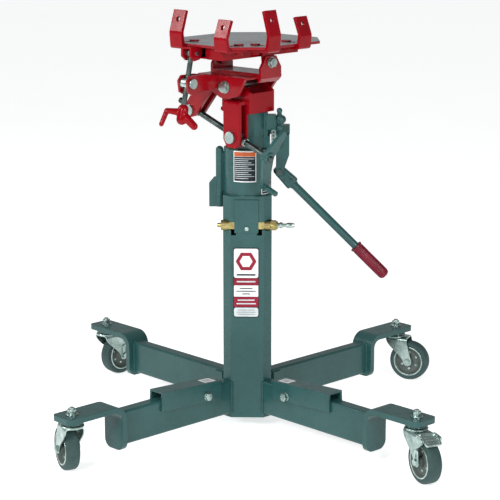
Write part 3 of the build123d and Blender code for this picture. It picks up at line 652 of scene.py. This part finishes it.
def caster_fork(name, place):
    """A caster's pressed fork with its swivel ring, and its axle bolt, nut and washers."""
    build = bmesh.new()
    fork_shell(build, place)
    ring = [(17.0, 113.0), (26.4, 113.0), (26.8, 114.6), (25.6, 116.6), (23.6, 117.8), (17.0, 117.8)]
    turned_ring(build, place, ring, 48)
    rivet = [(0, 109.0), (10.5, 109.0), (10.5, 111.6), (0, 111.6)]
    turned(build, place, rivet, 24)
    finish_mesh("fork_shell_" + name, build, ZINC, "caster_" + name, ["caster_fork_" + name])
    build = bmesh.new()
    hex_head(build, axle_frame(place, -23), 14, -6.0, 0.0)
    hex_head(build, axle_frame(place, 23), 14, 0.0, 5.0)
    turned(build, axle_frame(place, 0), [(0, -23), (4, -23), (4, 28.4), (3.2, 29.2), (0, 29.2)], 20)
    for side in (-1, 1):
        turned(build, axle_frame(place, side * 19.9),
              [(0, -1.2), (9.5, -1.2), (9.5, 0.6), (8.8, 1.2), (0, 1.2)], 28)
    finish_mesh("axle_bolt_" + name, build, ZINC, "caster_" + name, ["caster_fork_" + name])


def stem(name, place):
    """What holds the caster to its bracket: painted boss, bright race, washer, nut and stud end."""
    build = bmesh.new()
    boss = [(0, 126.2), (27.0, 126.2), (27.0, 124.6), (24.8, 121.0), (24.0, 120.4), (0, 120.4)]
    turned(build, place, boss, 48)
    finish_mesh("swivel_boss_" + name, build, PAINT, "base", ["caster_stems"])
    build = bmesh.new()
    race = [(0, 120.4), (21.5, 120.4), (22.4, 119.6), (22.4, 119.0), (21.6, 118.4), (0, 118.4)]
    turned(build, place, race, 48)
    washer = [(0, 139.0), (13.6, 139.0), (14.0, 139.4), (14.0, 140.9), (13.5, 141.4), (0, 141.4)]
    turned(build, place, washer, 40)
    hex_head(build, place @ Matrix.Rotation(0.3, 4, "Z"), 19, 141.4, 152.0)
    stud = [(0, 118.0), (5.9, 118.0), (5.9, 155.0), (4.9, 156.0), (0, 156.0)]
    turned(build, place, stud, 24)
    finish_mesh("swivel_stud_" + name, build, ZINC, "base", ["caster_stems"])


def brake(name, place):
    """A pressed foot pedal with raised edges, over the tyre, and its slotted link plates on the cheeks."""
    body = "brake_" + name
    node = "brake_lever_" + name
    top = Vector((46.0, 0, 112.8))
    low = Vector((78.0, 0, 95.5))
    down = (low - top).normalized()
    out = down.cross(Vector((0, 1, 0))).normalized()
    if out.z < 0:
        out = -out
    length = (low - top).length
    turn = place.to_3x3()
    pedal = aim(local(place, *((top + low) / 2)), turn @ out, turn @ Vector((0, 1, 0)))
    build = bmesh.new()
    outer = rounded(39 * MM, length * MM, 5 * MM)
    inner = rounded(32 * MM, (length - 7) * MM, 3 * MM)
    rim_levels = ((outer, -1.5), (outer, 3.6), (inner, 3.6), (inner, 0.0))
    rings = [[build.verts.new(pedal @ Vector((x, y, z * MM))) for x, y in outline] for outline, z in rim_levels]
    skin(build, rings)
    for k in (-1, 0, 1):
        slab(build, pedal @ Matrix.Translation((0, k * 7 * MM, 0)), rounded(26 * MM, 2.2 * MM, 1.0 * MM, 3),
             -0.5 * MM, 1.0 * MM)
    turned(build, aim(local(place, 60, -25.4, 104), turn @ Vector((0, 1, 0))),
          [(0, 0), (5.6, 0), (6, 0.6), (6, 2.0), (3, 2.0), (3, 48.8), (6, 48.8), (6, 50.2), (5.6, 50.8),
                       (0, 50.8)], 24)
    finish_mesh("brake_pedal_" + name, build, ZINC, body, [node], bevel=0.0004)
    build = bmesh.new()
    lug = [(36, 84), (34, 106), (40, 113), (54, 113), (63, 111), (67, 107), (67, 101), (62, 96), (46, 84)]
    for side in (-1, 1):
        sheet = place @ Matrix.Translation((0, side * 21.5 * MM, 0)) @ Matrix.Rotation(math.pi / 2, 4, "X")
        slab(build, sheet, [(x * MM, z * MM) for x, z in lug], -1.4 * MM, 1.4 * MM)
        link = aim(local(place, TRAIL + 2, side * 24.1, WHEEL_RADIUS + 13), turn @ Vector((0, side, 0)),
                   turn @ Vector((1, 0, 0)))
        outline = rounded(19 * MM, 34 * MM, 8 * MM, 6)
        hole = [(x * 0.26 + 0.001, y * 0.52) for x, y in outline]
        plate_with_hole(build, link, outline, hole, -1.0 * MM, 1.2 * MM)
    finish_mesh("brake_links_" + name, build, ZINC, "caster_" + name, ["caster_fork_" + name],
                bevel=0.0003)


def plate_with_hole(build, frame_matrix, outline, hole, low, high):
    """A plate between two heights, with a hole whose outline has as many points as its own."""
    loops = []
    for shape, z in ((outline, low), (outline, high), (hole, high), (hole, low)):
        loops.append([build.verts.new(frame_matrix @ Vector((x, y, z))) for x, y in shape])
    count = len(outline)
    for k in range(4):
        first, second = loops[k], loops[(k + 1) % 4]
        for i in range(count):
            j = (i + 1) % count
            build.faces.new((first[i], first[j], second[j], second[i]))


def make_casters():
    """The four casters, with brakes on two of them."""
    for name in CORNERS:
        place = caster_frame(name)
        wheel(name, place)
        caster_fork(name, place)
        stem(name, place)
        if name in BRAKED:
            brake(name, place)


# ---- fasteners ----

def leg_bolts():
    """The through bolts of the two front legs, with chamfered heads, washers and nuts."""
    for name in ("front_left", "front_right"):
        turn = Matrix.Rotation(math.radians(CORNERS[name]), 4, "Z")
        axis = turn.to_3x3() @ Vector((0, 1, 0))
        bolt = aim(turn @ Vector((BOLT_REACH * MM, 0, BOLT_Z * MM)), axis, (0, 0, 1))
        build = bmesh.new()
        turned(build, bolt, [(0, -30), (5, -30), (5, 30.5), (4.2, 31.4), (0, 31.4)], 24)
        turned(build, bolt, [(0, -24.2), (10, -24.2), (10, -22.2), (0, -22.2)], 32)
        turned(build, bolt, [(0, 22.2), (10, 22.2), (10, 24.2), (0, 24.2)], 32)
        hex_head(build, aim(bolt.translation, -axis, (0, 0, 1)), 17, 24.2, 33.6)
        hex_head(build, bolt, 17, 24.2, 31.0)
        finish_mesh("through_bolt_" + name, build, ZINC, "base", ["leg_through_bolts"])


def head_axis(x, y, z):
    """A direction of the head's own axes."""
    return HEAD.to_3x3() @ Vector((x, y, z))


def head_bolts():
    """The side-tilt bolt and the two cradle bolts: chamfered heads on flat washers."""
    build = bmesh.new()
    front = 76.4
    middle = Vector(JOINTS["side_tilt"]["pos_m"])
    shank = aim(middle, head_axis(0, -1, 0), head_axis(1, 0, 0))
    rear = -TILT_REAR
    turned(build, shank, [(0, rear - 8), (7.2, rear - 8), (8, rear - 7), (8, front), (0, front)], 32)
    washer = [(0, front - 0.3), (14.5, front - 0.3), (14.5, front + 1.6), (0, front + 1.6)]
    turned(build, shank, washer, 40)
    hex_head(build, shank, 22, front + 1.6, front + 9.4)
    hex_head(build, aim(middle, head_axis(0, 1, 0), head_axis(1, 0, 0)), 22, TILT_REAR + 0.4, TILT_REAR + 12)
    finish_mesh("side_tilt_bolt", build, ZINC, "head", ["tilt_bolt"])
    build = bmesh.new()
    for side, face in ((-1, CRADLE_LEFT), (1, CRADLE_RIGHT)):
        start = head_point(face - side * 22, 0, NOD_Z)
        pin = aim(start, head_axis(side, 0, 0), (0, 0, 1))
        turned(build, pin, [(0, 0), (6, 0), (6.5, 0.6), (6.5, 24), (0, 24)], 24)
        turned(build, pin, [(0, 21.9), (12.5, 21.9), (12.5, 23.8), (0, 23.8)], 36)
        hex_head(build, pin, 20, 23.8, 31.0)
    finish_mesh("cradle_bolts", build, ZINC, "tilt_saddle", ["cradle_pins"])


# ---- screws, cranks and handles ----

def screws():
    """The two tilt screws, with real thread flanks."""
    collar = Vector(JOINTS["side_collar_pivot"]["pos_m"])
    nut = Vector(JOINTS["side_nut_pivot"]["pos_m"])
    along = (nut - collar).normalized()
    build = bmesh.new()
    low, high = collar - along * SCREW_LOW * MM, collar + along * SCREW_HIGH * MM
    thread(build, low, high, 7.4 * MM, 3.2 * MM, 1.0 * MM)
    finish_mesh("side_screw_thread", build, OILED, "side_screw", ["side_tilt_screw"], sharp=80)
    eye = Vector(JOINTS["nod_hanger_pivot"]["pos_m"])
    block = Vector(JOINTS["nod_block_pivot"]["pos_m"])
    down = (block - eye).normalized()
    build = bmesh.new()
    thread(build, eye + down * 3 * MM, eye + down * 157 * MM, 6.4 * MM, 2.6 * MM, 0.9 * MM)
    finish_mesh("nod_screw_thread", build, OILED, "nod_lead_screw", ["nod_screw"], sharp=80)
    return collar, along, eye, down


def crank(collar, along):
    """A flat two-armed crank, widest at its hub, with a round peg on the lower arm."""
    hub = collar - along * CRANK_REACH * MM
    place = aim(hub, -along, FRONT_AXIS)
    build = bmesh.new()
    for angle, length, tip in CRANK_ARMS:
        arm = place @ Matrix.Rotation(math.radians(angle), 4, "Z")
        outline = [(0, -15.5), (20, -15.2), (length - 7, -tip), (length - 2, -tip * 0.75), (length, 0),
                   (length - 2, tip * 0.75), (length - 7, tip), (20, 15.2), (0, 15.5)]
        slab(build, arm, [(x * MM, y * MM) for x, y in outline], -2.0 * MM, 7.0 * MM)
    turned(build, place, [(0, -9), (12.5, -9), (13.6, -8), (13.6, 9.5), (12.5, 10.8), (0, 10.8)], 40)
    angle, length, _ = CRANK_ARMS[1]
    end = Matrix.Rotation(math.radians(angle), 4, "Z") @ Vector(((length - 7) * MM, 0, 0))
    peg = place @ Matrix.Translation(end)
    profile = [(0, 4), (5.6, 4), (6.2, 8), (6.5, 22), (6.5, 38), (6.0, 40.5), (4.6, 42), (0, 42.4)]
    turned(build, peg, profile, 28)
    finish_mesh("side_crank", build, PAINT, "side_screw", ["side_tilt_crank"], bevel=0.0012)


def nod_handle(eye, down):
    """A cast handle: a hub, a long arm that ends in a hanging peg, and a short thick arm."""
    hub = eye + down * HANDLE_REACH * MM
    place = aim(hub, -down, head_axis(1, 0, 0))
    parts = [(hub - down * 0.013, hub + down * 0.010, 0.0125, 0.0125)]
    elbow = local(place, -27, -24, 5)
    tip = local(place, -33, -29, -27)
    lump = local(place, 27, 15, -21)
    parts += [(hub - down * 0.006, elbow, 0.0095, 0.0062), (elbow, tip, 0.0062, 0.0056)]
    parts += [(hub - down * 0.002, lump, 0.0105, 0.0088)]
    cast("nod_handle_casting", parts, 0.0012, 6, RED, "nod_lead_screw", ["nod_handle"])
    build = bmesh.new()
    washer = aim(hub + down * 0.0095, down)
    turned(build, washer, [(0, 0), (10.5, 0), (11, 0.6), (11, 2.4), (10.4, 3.0), (0, 3.0)], 32)
    finish_mesh("nod_handle_washer", build, OILED, "nod_lead_screw", ["nod_handle"])


def star_knob():
    """The release valve's star knob: five ball-ended arms on a hub, and its spindle."""
    axis = Vector(JOINTS["release_turn"]["pos_m"])
    centre = Vector((74 * MM, axis.y, axis.z))
    parts = [(centre - Vector((0.005, 0, 0)), centre + Vector((0.005, 0, 0)), 0.0105, 0.0105)]
    for i in range(5):
        turn = math.radians(72 * i + 18)
        ball = centre + Vector((0, -math.cos(turn), math.sin(turn))) * 0.0205
        parts.append((centre, ball, 0.0058, 0.0050))
        parts.append((ball, ball, 0.0069, 0.0069))
    cast("release_star", parts, 0.0010, 4, PAINT, "release_valve", ["release_knob"])
    build = bmesh.new()
    spindle = aim((47 * MM, axis.y, axis.z), (1, 0, 0))
    turned(build, spindle, [(0, 0), (4.9, 0), (4.9, 32), (4.2, 33), (0, 33)], 24)
    finish_mesh("release_spindle", build, ZINC, "release_valve", ["release_knob"])


def pump_lever():
    """The pump handle: a flared socket with two pins, a round bar, and a ribbed grip with a flange."""
    pivot = Vector(JOINTS["pump_stroke"]["pos_m"])
    along_bar = (math.cos(HANDLE_SLOPE), 0, math.sin(HANDLE_SLOPE))
    place = aim((pivot.x, 20 * MM, pivot.z), along_bar, (0, -1, 0))
    build = bmesh.new()
    stations = [(-11, 9.5, 9), (-7, 12.6, 12), (4, 13.0, 13.2), (16, 13.4, 14.0), (36, 13.8, 15.6),
                (42, 13.8, 15.8), (45, 13.0, 15.0), (46, 11.0, 13)]
    rings = []
    for along, half_x, half_y in stations:
        outline = rounded(2 * half_x * MM, 2 * half_y * MM, min(half_x, half_y) * 0.45 * MM)
        rings.append([build.verts.new(place @ Vector((x, y, along * MM))) for x, y in outline])
    skin(build, rings)
    bar = [(0, 30), (11.0, 30), (11.0, 50), (9.5, 52), (9.5, 262), (0, 262)]
    turned(build, place, bar, 40)
    finish_mesh("pump_handle_bar", build, PAINT, "pump_lever", ["pump_handle"], sharp=50)
    build = bmesh.new()
    for along, reach in ((24, 6.0), (34, -6.0)):
        spot = place @ Vector((13.6 * MM, reach * MM, along * MM))
        turned(build, aim(spot, (0, -1, 0)), [(0, -2), (3.2, -2), (3.2, 0.8), (2.6, 1.3), (0, 1.3)], 20)
    finish_mesh("pump_handle_pins", build, OILED, "pump_lever", ["pump_handle"])
    build = bmesh.new()
    levels = [(256, 10.6, 0.0), (256.5, 15.2, 0.0), (259.5, 15.2, 0.0), (260.5, 14.0, 0.0), (263, 13.7, 0.0),
              (266, 13.9, 1.0), (338, 13.9, 1.0), (343, 13.9, 0.0), (350, 13.6, 0.0), (354.5, 12.0, 0.0),
              (357.2, 8.4, 0.0), (358, 3.5, 0.0)]
    rings = []
    for along, radius, ribbed in levels:
        ring = []
        for i in range(96):
            angle = 2 * math.pi * i / 96
            r = radius - 1.1 * ribbed * max(0.0, math.cos(12 * angle)) ** 3
            ring.append(build.verts.new(place @ Vector((r * MM * math.cos(angle), r * MM * math.sin(angle),
                                                        along * MM))))
        rings.append(ring)
    skin(build, rings)
    finish_mesh("pump_grip", build, GRIP, "pump_lever", ["handle_grip"], sharp=50)


# ---- air fittings ----

def air_fittings():
    """The hexagon adaptor with its collar, and the plug nipple with its locking groove."""
    y = VALVE_Y * MM
    z = VALVE_Z * MM
    place = aim((0, y, z), (1, 0, 0), (0, 0, 1))
    build = bmesh.new()
    hex_head(build, place, 21.8, 53.4, 68.0)
    turned(build, place, [(0, 52), (9.4, 52), (9.4, 70), (8.2, 71.6), (0, 71.6)], 36)
    finish_mesh("air_adaptor", build, BRASS, "base", ["air_inlet_nut"])
    build = bmesh.new()
    nose = [(0, 71), (5.8, 71), (5.8, 76), (7.2, 76.6), (7.2, 81), (5.8, 82), (4.2, 84), (4.2, 91), (5.4, 92.5),
            (6.0, 95), (6.0, 103), (5.0, 108), (4.2, 110), (2.6, 110), (2.6, 100), (0, 100)]
    turned(build, place, nose, 36)
    finish_mesh("air_plug", build, ZINC, "base", ["air_nipple"])
    build = bmesh.new()
    button = [(0, 8), (5.0, 8), (5.0, 22.4), (4.4, 23.6), (3.0, 24.0), (0, 24.0)]
    turned(build, aim((-46 * MM, y, z), (-1, 0, 0)), button, 28)
    finish_mesh("air_button", build, BRASS, "valve_button", ["air_valve_button"])


# ---- labels: plain coloured films, with no lettering ----

def flat_panel(build, z, width, height, corner, out):
    """A thin film on the column's front face."""
    place = aim((LABEL_X * MM, -(COLUMN_HALF + out) * MM, z * MM), (0, -1, 0), (1, 0, 0))
    slab(build, place, rounded(width * MM, height * MM, corner * MM), -0.25 * MM, 0.0)


def curved_panel(build, start, end, low, high, out):
    """A thin film on the round sleeve, between two angles from the front and two heights."""
    steps = 12
    radius = (SLEEVE_RADIUS + out) * MM
    rows = []
    for depth in (0.0, 0.25 * MM):
        for z in (low, high):
            row = []
            for i in range(steps + 1):
                angle = math.radians(start + (end - start) * i / steps)
                r = radius - depth
                row.append(build.verts.new((r * math.sin(angle), -r * math.cos(angle), z * MM)))
            rows.append(row)
    outer_low, outer_high, inner_low, inner_high = rows
    for first, second in ((outer_low, outer_high), (outer_high, inner_high), (inner_high, inner_low),
                          (inner_low, outer_low)):
        for i in range(steps):
            build.faces.new((first[i], first[i + 1], second[i + 1], second[i]))
    for i in (0, steps):
        build.faces.new((outer_low[i], outer_high[i], inner_high[i], inner_low[i]))


def film(name, material, panels, ring_z=None):
    """Films of one colour on the column, each (height, width, length, corner, out), and a six-sided ring."""
    build = bmesh.new()
    for panel in panels:
        flat_panel(build, *panel)
    if ring_z:
        place = aim((LABEL_X * MM, -(COLUMN_HALF + 1.05) * MM, ring_z * MM), (0, -1, 0), (1, 0, 0))
        ring = hex_profile(42 * MM)
        plate_with_hole(build, place, ring, [(x * 0.62, z * 0.62) for x, z in ring], -0.25 * MM, 0.0)
    finish_mesh(name, build, material, "base")


def column_label():
    """The column's stacked label: dark border, pale and red fields, a plain six-sided ring and bare rules."""
    film("column_label_border", FILM_DARK, [(359, 61, 168, 6, 0.5)])
    film("column_label_white", FILM_WHITE, [(405.5, 57, 70, 5, 0.8), (339, 57, 27, 0.6, 0.8)])
    film("column_label_grey", FILM_GREY, [(288, 57, 22, 5, 0.8)])
    film("column_label_red", FILM_RED, [(361.5, 57, 16, 0.6, 0.8), (312.5, 57, 24, 0.6, 0.8)], ring_z=410)
    rules = [(378, 44, 4.0, 1.5, 1.05)]
    rules += [(z, width, 2.2, 0.8, 1.05) for z, width in ((345, 30), (338.5, 46), (332, 18))]
    rules += [(z, width, 0.9, 0.3, 1.05) for z, width in ((293, 40), (288, 46), (283, 40))]
    film("column_label_rules", FILM_DARK, rules)
    pale = [(361.5, 44, 3.4, 1.2, 1.05), (317, 40, 3.0, 1.2, 1.05), (308.5, 46, 3.0, 1.2, 1.05)]
    film("column_label_pale_rules", FILM_GREY, pale)


def sleeve_labels():
    """Two bordered labels on the sleeve, with an orange heading, a dark field and pale rules."""
    sheets = ((-34.0, 22.0, 597.0, 669.5), (36.0, 80.0, 566.0, 669.0))
    border = bmesh.new()
    dark = bmesh.new()
    orange = bmesh.new()
    rules = bmesh.new()
    for start, end, low, high in sheets:
        curved_panel(border, start, end, low, high, 0.45)
        curved_panel(dark, start + 2.0, end - 2.0, low + 2.4, high - 13.0, 0.75)
        curved_panel(orange, start + 2.0, end - 2.0, high - 12.2, high - 2.2, 0.75)
        count = int((high - low - 20) / 4.6)
        for i in range(count):
            z = high - 17.5 - 4.6 * i
            curved_panel(rules, start + 4.0, end - 5.0 - 7.0 * ((i * 5) % 3), z - 0.7, z + 0.7, 1.0)
    finish_mesh("sleeve_label_border", border, FILM_WHITE, "base")
    finish_mesh("sleeve_label_field", dark, FILM_DARK, "base")
    finish_mesh("sleeve_label_heading", orange, FILM_ORANGE, "base")
    finish_mesh("sleeve_label_rules", rules, FILM_GREY, "base")


# ---- welds ----

def base_welds():
    """Beads where the legs meet the column and the brackets meet the legs, and round the sleeve's foot."""
    for name, degrees in CORNERS.items():
        turn = Matrix.Rotation(math.radians(degrees), 4, "Z")
        inner = 68.0 * MM
        for side in (-1, 1):
            path = [turn @ Vector((inner, side * 16.6 * MM, z * MM)) for z in (42, 118)]
            bead(f"leg_weld_{name}_{side + 1}", path, 2.6 * MM, PAINT, "base")
        outer = 403.4 * MM
        loop = [turn @ Vector((outer, y * MM, z * MM)) for y, z in
                ((-16.2, 44), (-16.2, 116), (-12, 120.2), (12, 120.2), (16.2, 116), (16.2, 44), (12, 39.8),
                 (-12, 39.8))]
        bead("bracket_weld_" + name, loop, 2.6 * MM, PAINT, "base", closed=True)
    ring = [(55.9 * MM * math.cos(a), 55.9 * MM * math.sin(a), 564.6 * MM)
            for a in (2 * math.pi * i / 48 for i in range(48))]
    bead("sleeve_weld", ring, 2.2 * MM, PAINT, "base", closed=True)
    for y in (-5.4, 5.4):
        path = [(-56.9 * MM, y * MM, z * MM) for z in (567, 660)]
        bead(f"post_weld_{int(y > 0)}", path, 2.2 * MM, PAINT, "base")


# ---- small plates, labels and beads of the head and legs ----

def head_details(collar, along):
    """The cover over one table tube, the beads of the head's welds, and the side screw's bright collar."""
    cover = aim(head_point(26, -132.2, 899.5), head_axis(0, -1, 0), head_axis(1, 0, 0))
    build = bmesh.new()
    slab(build, cover, rounded(50 * MM, 27 * MM, 3 * MM), -0.2 * MM, 4.0 * MM)
    finish_mesh("tube_cover", build, RED, "top_table", bevel=0.0007)
    for x in (-50, 50):
        path = [head_point(x, y, 913.4) for y in (-126, 112)]
        bead(f"tube_weld_{x + 50}", path, 1.8 * MM, RED, "top_table")
    for side, face in ((-1, CRADLE_LEFT), (1, CRADLE_RIGHT)):
        path = [head_point(face - side * 7.6, y, 850.4) for y in (-30, 30)]
        bead(f"cradle_weld_{side + 1}", path, 1.8 * MM, RED, "tilt_saddle")
    path = [head_point(x, -50.6, 787.4) for x in (-3, 43)]
    bead("strap_weld", path, 2.0 * MM, RED, "head")
    build = bmesh.new()
    ring = [(7.0, -33), (9.2, -33), (9.8, -32.4), (9.8, -26.6), (9.2, -26), (7.0, -26)]
    turned_ring(build, aim(collar, along), ring, 40)
    finish_mesh("side_screw_collar", build, ZINC, "side_screw")


def channel_labels():
    """A small plain label on the inner end of each front leg's channel."""
    for name in ("front_left", "front_right"):
        turn = Matrix.Rotation(math.radians(CORNERS[name]), 4, "Z")
        tilt = math.radians(3.0)
        spot = turn @ Vector((133 * MM, 0, (128 + 67 * math.tan(tilt)) * MM))
        out = turn.to_3x3() @ Vector((-math.sin(tilt), 0, math.cos(tilt)))
        side = turn.to_3x3() @ Vector((math.cos(tilt), 0, math.sin(tilt)))
        place = aim(spot, out, side)
        build = bmesh.new()
        slab(build, place, rounded(34 * MM, 27 * MM, 1.5 * MM), -0.2 * MM, 0.35 * MM)
        finish_mesh("channel_label_" + name, build, FILM_WHITE, "base")
        build = bmesh.new()
        for k in (-1, 0, 1):
            slab(build, place @ Matrix.Translation((0, k * 6 * MM, 0)), rounded(24 * MM, 1.6 * MM, 0.6 * MM, 3),
                 0.2 * MM, 0.55 * MM)
        finish_mesh("channel_rules_" + name, build, FILM_DARK, "base")


def block_strap():
    """A pale strap with round holes beside the head block."""
    place = aim((60.5 * MM, -31 * MM, 698 * MM), (0, -1, 0), (1, 0, 0))
    build = bmesh.new()
    slab(build, place, rounded(11 * MM, 36 * MM, 4 * MM), -2.0 * MM, 0.0)
    finish_mesh("block_strap", build, ZINC, "lift_unit", bevel=0.0004)
    build = bmesh.new()
    for z in (-12, -4, 4, 12):
        spot = place @ Matrix.Translation((0, z * MM, 0))
        turned(build, spot, [(0, -2.1), (2.2, -2.1), (2.2, 0.15), (0, 0.15)], 20)
    finish_mesh("block_strap_holes", build, OILED, "lift_unit")


# ---- stage ----

def camera():
    """The viewing angle: in front, a little above the table, with a long lens."""
    distance = 4.032
    height = 1.344
    azimuth = math.radians(1.25)
    data = bpy.data.cameras.new("camera")
    data.sensor_width = 36.0
    data.lens = 126.2
    eye = bpy.data.objects.new("camera", data)
    eye.location = (distance * math.sin(azimuth), -distance * math.cos(azimuth), height)
    eye.rotation_euler = (math.pi / 2 - 0.22424, 0.0, azimuth - 0.00137)
    bpy.context.scene.collection.objects.link(eye)
    bpy.context.scene.camera = eye


def area_light(name, place, target, size, power):
    """A rectangular lamp, aimed at a target."""
    data = bpy.data.lights.new(name, "AREA")
    data.shape = "RECTANGLE"
    data.size, data.size_y = size
    data.energy = power
    lamp = bpy.data.objects.new(name, data)
    lamp.location = place
    lamp.rotation_euler = (Vector(target) - Vector(place)).to_track_quat("-Z", "Y").to_euler()
    bpy.context.scene.collection.objects.link(lamp)


def studio_world():
    """Soft surroundings: bright above and behind the object, dimmer in front of it."""
    world = bpy.data.worlds.new("studio")
    world.use_nodes = True
    tree = world.node_tree
    background = tree.nodes["Background"]
    coords = tree.nodes.new("ShaderNodeTexCoord")
    split = tree.nodes.new("ShaderNodeSeparateXYZ")
    tree.links.new(coords.outputs["Generated"], split.inputs[0])
    behind = scaled(tree, split.outputs["Y"], 0.0, 1.0, -0.35, 0.45)
    above = scaled(tree, split.outputs["Z"], 0.0, 1.0, 0.35, 0.85)
    bright = arithmetic(tree, "MAXIMUM", behind, above)
    colour = ramp(tree, bright, (0.24, 0.25, 0.26), (0.72, 0.73, 0.74), 0.0, 1.0)
    tree.links.new(colour, background.inputs["Color"])
    background.inputs["Strength"].default_value = 0.50
    bpy.context.scene.world = world


def stage():
    """A plain pale floor and soft studio light."""
    mesh = bpy.data.meshes.new("floor")
    build = bmesh.new()
    half = 14.0
    corners = ((-half, -half), (half, -half), (half, half), (-half, half))
    build.faces.new([build.verts.new((x, y, 0)) for x, y in corners])
    build.to_mesh(mesh)
    build.free()
    floor = bpy.data.objects.new("floor", mesh)
    bpy.context.scene.collection.objects.link(floor)
    material, tree, shader, source = new_material("pale_floor")
    tree.links.new(ramp(tree, noise(tree, source, 3, 4), (0.90, 0.90, 0.90), (0.92, 0.92, 0.92)),
                   shader.inputs["Base Color"])
    shader.inputs["Roughness"].default_value = 0.8
    shader.inputs["Emission Color"].default_value = (1, 1, 1, 1)
    shader.inputs["Emission Strength"].default_value = 0.64
    mesh.materials.append(material)
    studio_world()
    bpy.context.scene.view_settings.view_transform = "Standard"
    area_light("key", (-1.9, -3.6, 2.3), (0, 0, 0.5), (0.9, 0.9), 105)
    area_light("fill", (2.2, -3.4, 1.6), (0, 0, 0.45), (0.9, 0.9), 62)
    area_light("side", (-2.6, -0.3, 2.1), (0, 0, 0.8), (0.6, 0.9), 26)


camera()
dress_cad_nodes()
make_casters()
leg_bolts()
head_bolts()
collar, along, eye, down = screws()
crank(collar, along)
nod_handle(eye, down)
star_knob()
pump_lever()
air_fittings()
column_label()
sleeve_labels()
base_welds()
head_details(collar, along)
channel_labels()
block_strap()
stage()
